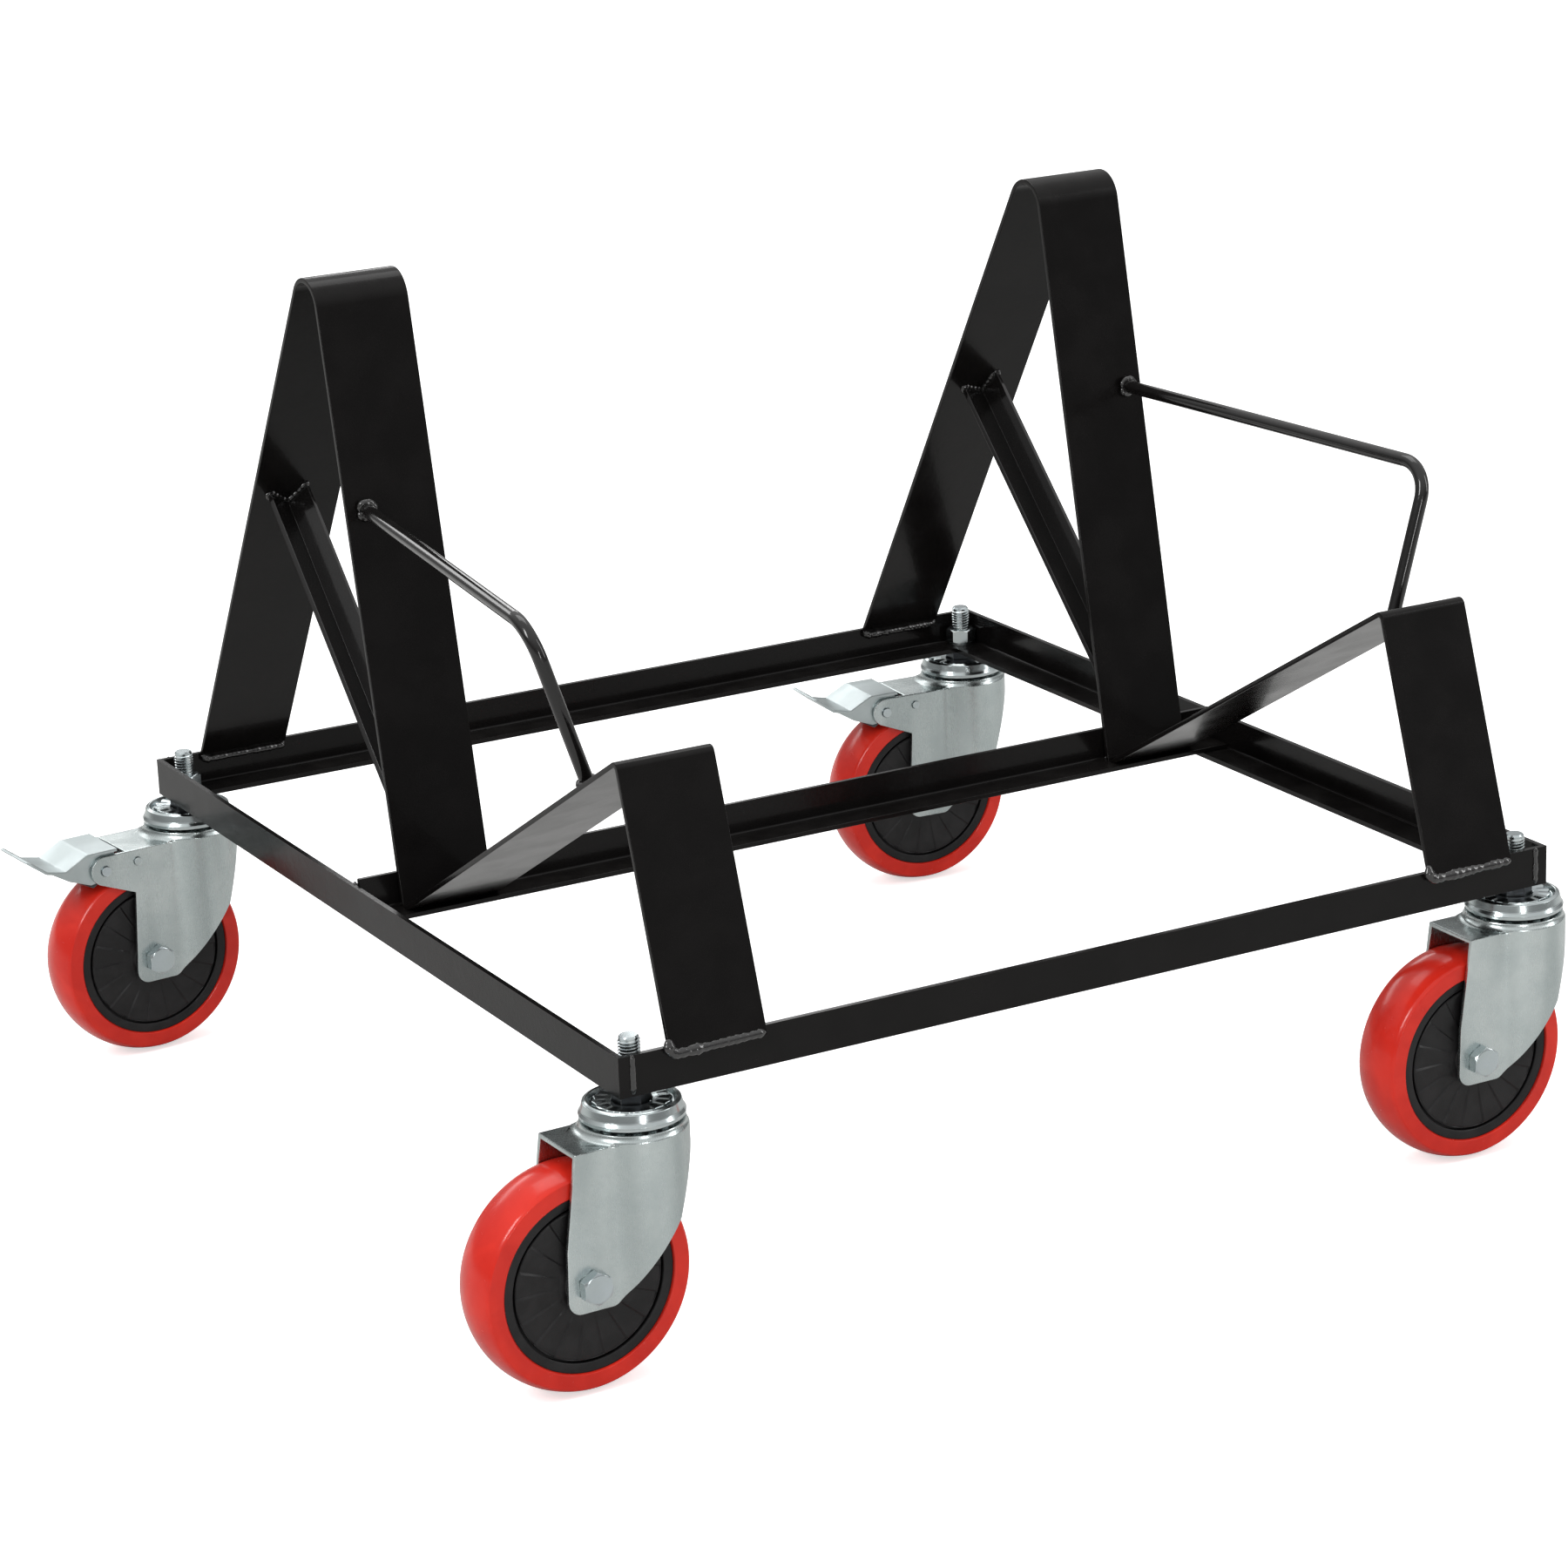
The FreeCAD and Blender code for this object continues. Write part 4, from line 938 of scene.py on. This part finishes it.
    def build_stem(self) -> None:
        """Turns the stem: thread, king pin and rivet head, and a hexagon collar over the race."""
        name = self.corner.label
        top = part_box("stem_" + name)[1].z
        mesh = helix_thread(self.stem_radius, self.thread_depth, self.thread_pitch, self.thread_low, top)
        join_into(mesh, spin_profile(in_metres(KING_PIN), 40))
        finish_piece(f"stem_{name}_threaded", mesh, "frame", self.finishes.thread, (f"stem_{name}",),
                     move=self.to_stem)
        collar = hexagon_block(self.collar_flats, self.collar_low, self.collar_high, 0, self.domed)
        finish_piece(f"stem_{name}_collar", collar, "frame", self.finishes.dark, move=self.to_stem)

    def build_axle(self) -> None:
        """Builds the axle bolt, with a domed hexagon head, and its nut on the other side."""
        name = self.corner.label
        face, tail, radius, chamfer = self.axle_face, self.axle_tail, self.axle_radius, 0.75 * MM
        bolt = hexagon_block(self.axle_flats, face, self.axle_head, 0, self.domed)
        shank = [(0, -tail), (radius - chamfer, -tail), (radius, -tail + chamfer), (radius, face + MM),
                 (0, face + MM)]
        join_into(bolt, spin_profile(shank, 32))
        nut = hexagon_block(self.axle_flats, -self.axle_nut, -face, self.axle_bore, self.domed)
        for label, mesh in (("axle_bolt", bolt), ("axle_nut", nut)):
            finish_piece(f"{label}_{name}_domed", mesh, f"swivel_{name}", self.finishes.thread,
                         (f"{label}_{name}",), move=self.to_wheel)


# ---- steel frame


@dataclass
class BaseFrame:
    """The welded base of angle iron, its supports, braces and rods; lengths run from the base's middle."""

    finishes: Finishes
    soft: float = 0.45 * MM
    bar_near: float = 212.5 * MM
    bar_far: float = 269.5 * MM
    rod_radius: float = 4 * MM
    nut_flats: float = 17 * MM
    nut_low: float = 162 * MM
    nut_high: float = 171 * MM
    nut_bore: float = 6.02 * MM
    nut_domed: float = 0.6

    def __post_init__(self) -> None:
        """Finds the middle of the base."""
        self.middle = base_middle()

    def build(self) -> None:
        """Rounds, paints, fastens and welds the steel pieces."""
        names = ["front_rail", "rear_rail", "left_rail", "right_rail", "mid_rail"]
        for side in Side:
            names += [f"{kind}_{side.value[0]}" for kind in ("tall_band", "short_band", "brace")]
        for name in names:
            look = self.finishes.wet_paint if name.startswith("brace") else self.finishes.paint
            finish_piece(f"{name}_painted", softened(name, self.soft), "frame", look, (name,))
        for name, look in (("guide_rod_left", self.finishes.wet_paint),
                           ("guide_rod_right", self.finishes.wet_paint),
                           ("swivel_balls", self.finishes.thread)):
            repaint(name, look)
        self.turn_fasteners()
        for side in Side:
            self.weld_side(side)
        self.weld_corners()

    def turn_fasteners(self) -> None:
        """Builds the four stem nuts and the washers under them."""
        nuts, washers = bmesh.new(), bmesh.new()
        for corner in Corner:
            place = Caster(corner, self.finishes).to_stem
            nut = hexagon_block(self.nut_flats, self.nut_low, self.nut_high, self.nut_bore, self.nut_domed)
            join_into(nuts, nut, place)
            join_into(washers, spin_profile(in_metres(WASHER_SECTION), 40, closed=True), place)
        finish_piece("stem_nuts_domed", nuts, "frame", self.finishes.thread, ("stem_nuts",))
        finish_piece("stem_washers_turned", washers, "frame", self.finishes.thread,
                     ("stem_washers",))

    def at(self, x: float, y: float, z: float) -> Vector:
        """A point given in millimetres from the base's middle, on the floor's height."""
        return self.middle + Vector((x, y, z)) * MM

    def lay(self, name: str, beads: list) -> None:
        """Joins beads to one painted piece on the frame.

        Args:
            name: the piece's name.
            beads: the beads; each is freed.
        """
        mesh = bmesh.new()
        for bead in beads:
            join_into(mesh, bead)
        finish_piece(name, mesh, "frame", self.finishes.weld, sharp=80, weighted=False)

    def weld_side(self, side: Side) -> None:
        """Welds the supports', braces' and rods' ends on one side.

        Args:
            side: which half of the dolly.
        """
        label, sign = side.value
        inner, outer = sorted((sign * self.bar_near / MM, sign * self.bar_far / MM))
        front, back, above = Vector((0, -1, 0.4)), Vector((0, -1, 0.3)), Vector((0, -0.3, 1))
        seed, squash = 20 + sign, 0.8
        short = [self.at(*p) for p in ((inner + 0.4, -319.6, 185), (inner + 0.5, -320.6, 178.5),
                                       (inner + 4, -321.0, 176.2), (outer + 0.5, -320.8, 177))]
        tall = [self.at(*p) for p in ((inner + 0.3, 313.4, 179), (inner + 3, 312.9, 175.2),
                                      (outer - 3, 312.9, 175.2), (outer - 0.3, 313.4, 178))]
        mid, mid_short = [[self.at(x, y, z) for x in (inner + 1, outer - 1)]
                          for y, z in ((15.3, 163.4), (5.6, 164.0))]
        beads = [weld_bead(short, 3.1 * MM, squash, front, seed, ripple=0.0045),
                 weld_bead(tall, 2.3 * MM, squash, back, seed + 4),
                 weld_bead(mid, 1.8 * MM, squash, above, seed + 8),
                 weld_bead(mid_short, 1.8 * MM, squash, above, seed + 12)]
        self.lay(f"support_welds_{label}", beads)
        back_end, knee, foot = [self.at(sign * x, y, z) for x, y, z in
                                ((257.8, 52.6, 387.8), (287.5, -218.2, 383.9), (259.4, -221, 295.2))]
        rings = [self.ring_bead(back_end, knee - back_end, 1.5, seed + 16),
                 self.ring_bead(foot, knee - foot, 1.0, seed + 20)]
        self.lay(f"rod_welds_{label}", rings)
        self.lay(f"brace_welds_{label}", self.brace_beads(f"brace_{label}", seed + 24))

    def ring_bead(self, end: Vector, away: Vector, lift: float, seed: int) -> bmesh.types.BMesh:
        """A bead round a rod where it meets a bar.

        Args:
            end: the rod's end.
            away: the way that the rod leaves.
            lift: how far along the rod the bead sits, in millimetres.
            seed: seed of its unevenness.

        Returns:
            The bead.
        """
        axis = away.normalized()
        across = axis.cross(Vector((0, 0, 1))).normalized()
        upright = across.cross(axis)
        reach, steps = self.rod_radius + 0.6 * MM, 12
        turns = [math.tau * step / steps for step in range(steps + 1)]
        path = [end + axis * lift * MM + (across * math.cos(turn) + upright * math.sin(turn)) * reach
                for turn in turns]
        return weld_bead(path, 2.3 * MM, 0.9, axis, seed, ripple=0.004)

    def brace_beads(self, node: str, seed: int) -> list:
        """Beads along the cut ends of a brace.

        Args:
            node: the brace's node.
            seed: seed of their unevenness.

        Returns:
            The beads, one for each end.
        """
        mesh = merged_copy(node)
        ends = sorted(mesh.faces, key=lambda face: face.calc_center_median().z)
        beads = []
        for face, radius in ((ends[-1], 2.2 * MM), (ends[0], 1.8 * MM)):
            loop = [vert.co.copy() for vert in face.verts]
            path = loop + loop[:1]
            beads.append(weld_bead(path, radius, 0.85, face.normal.copy(), seed, ripple=0.0035))
            seed += 2
        mesh.free()
        return beads

    def weld_corners(self) -> None:
        """Welds the base's four corners, and the middle rail's ends."""
        corner_x, corner_y, corner_heights = 289.5, 318.2, (158, 180)
        mid_x, mid_y, mid_heights = 294, 19.6, (161, 181)
        beads = []
        for corner in Corner:
            _, along, across = corner.value
            path = [self.at(along * corner_x, across * corner_y, z) for z in corner_heights]
            beads.append(weld_bead(path, 1.9 * MM, 0.5, Vector((0, across, 0)), 50 + along + 2 * across))
        for side in Side:
            sign = side.value[1]
            path = [self.at(sign * mid_x, mid_y, z) for z in mid_heights]
            beads.append(weld_bead(path, 2.0 * MM, 0.7, Vector((-sign, 1, 0)), 60 + sign))
        self.lay("corner_welds", beads)


# ---- studio


@dataclass
class Studio:
    """Camera, lights and floor; each light has a name, a place, a size in metres and a power in watts."""

    from_base: tuple = (-1.25167, -2.26910, 1.00468)
    heading: float = 28.44
    tilt: float = -17.44
    roll: float = -2.22
    lens: float = 104.25
    floor_size: float = 14.0
    low_glow: float = 0.2
    high_glow: float = 0.95
    background: float = 1.05
    aimed_at: tuple = (0.05, 0.0, 0.2)
    lights: tuple = (
        ("overhead", (0.3, 0.9, 2.7), (2.2, 1.2), 17.0),
        ("key_left", (-2.2, -0.7, 1.9), (0.6, 1.0), 24.0),
        ("fill_right", (2.4, -1.6, 1.4), (0.5, 1.8), 14.0),
        ("low_strip", (-0.4, -3.0, 0.5), (0.25, 0.9), 9.0),
        ("strip_back", (0.2, 2.9, 1.5), (3.0, 0.5), 12.0),
    )

    def build(self) -> None:
        """Sets up everything that isn't the dolly."""
        self.place_camera()
        self.lay_floor()
        self.hang_lights()
        view = bpy.context.scene.view_settings
        view.view_transform = "Standard"
        view.look = "None"

    def place_camera(self) -> None:
        """Makes the camera from its place, heading, tilt and roll."""
        heading, tilt, roll = (math.radians(v) for v in (self.heading, self.tilt, self.roll))
        ahead = Vector((math.sin(heading) * math.cos(tilt), math.cos(heading) * math.cos(tilt),
                        math.sin(tilt)))
        level = Vector((math.cos(heading), -math.sin(heading), 0))
        upright = level.cross(ahead)
        right = level * math.cos(roll) + upright * math.sin(roll)
        above = upright * math.cos(roll) - level * math.sin(roll)
        data = bpy.data.cameras.new("view")
        data.lens, data.sensor_width = self.lens, 36.0
        data.clip_start, data.clip_end = 0.05, 60.0
        camera = bpy.data.objects.new("view", data)
        bpy.context.scene.collection.objects.link(camera)
        turn = Matrix((right, above, -ahead)).transposed()
        camera.matrix_world = Matrix.Translation(base_middle() + Vector(self.from_base)) @ turn.to_4x4()
        bpy.context.scene.camera = camera

    def lay_floor(self) -> None:
        """Lays the pale floor."""
        mesh = bmesh.new()
        bmesh.ops.create_grid(mesh, x_segments=4, y_segments=4, size=self.floor_size)
        data = bpy.data.meshes.new("floor")
        mesh.to_mesh(data)
        mesh.free()
        data.materials.append(FloorFinish("pale_floor").material())
        floor = bpy.data.objects.new("floor", data)
        bpy.context.scene.collection.objects.link(floor)

    def hang_lights(self) -> None:
        """Hangs soft boxes round the dolly and sets the even world light."""
        world = bpy.data.worlds.new("studio")
        bpy.context.scene.world = world
        world.use_nodes = True
        nodes = Nodes(world.node_tree)
        way = nodes.add("SeparateXYZ", Vector=nodes.add("TexCoord").outputs["Generated"])
        glow = nodes.spread(way.outputs["Z"], -0.1, 0.9, self.low_glow, self.high_glow)
        seen = nodes.add("LightPath").outputs["Is Camera Ray"]
        strength = nodes.math("MAXIMUM", glow, nodes.math("MULTIPLY", seen, self.background))
        nodes.fill(world.node_tree.nodes["Background"], Color=(1.0, 1.0, 1.0, 1.0), Strength=strength)
        for name, place, size, power in self.lights:
            data = bpy.data.lights.new(name, "AREA")
            data.shape, data.size, data.size_y, data.energy = "RECTANGLE", size[0], size[1], power
            light = bpy.data.objects.new(name, data)
            bpy.context.scene.collection.objects.link(light)
            aim = Vector(self.aimed_at) - Vector(place)
            turn = aim.to_track_quat("-Z", "Y").to_matrix().to_4x4()
            light.matrix_world = Matrix.Translation(place) @ turn


def main() -> None:
    """Builds the studio and every sub-assembly in turn."""
    logging.basicConfig(level=logging.INFO, format="%(message)s")
    Studio().build()
    finishes = Finishes()
    BaseFrame(finishes).build()
    for corner in Corner:
        Caster(corner, finishes).build()


if __name__ == "__main__":
    main()
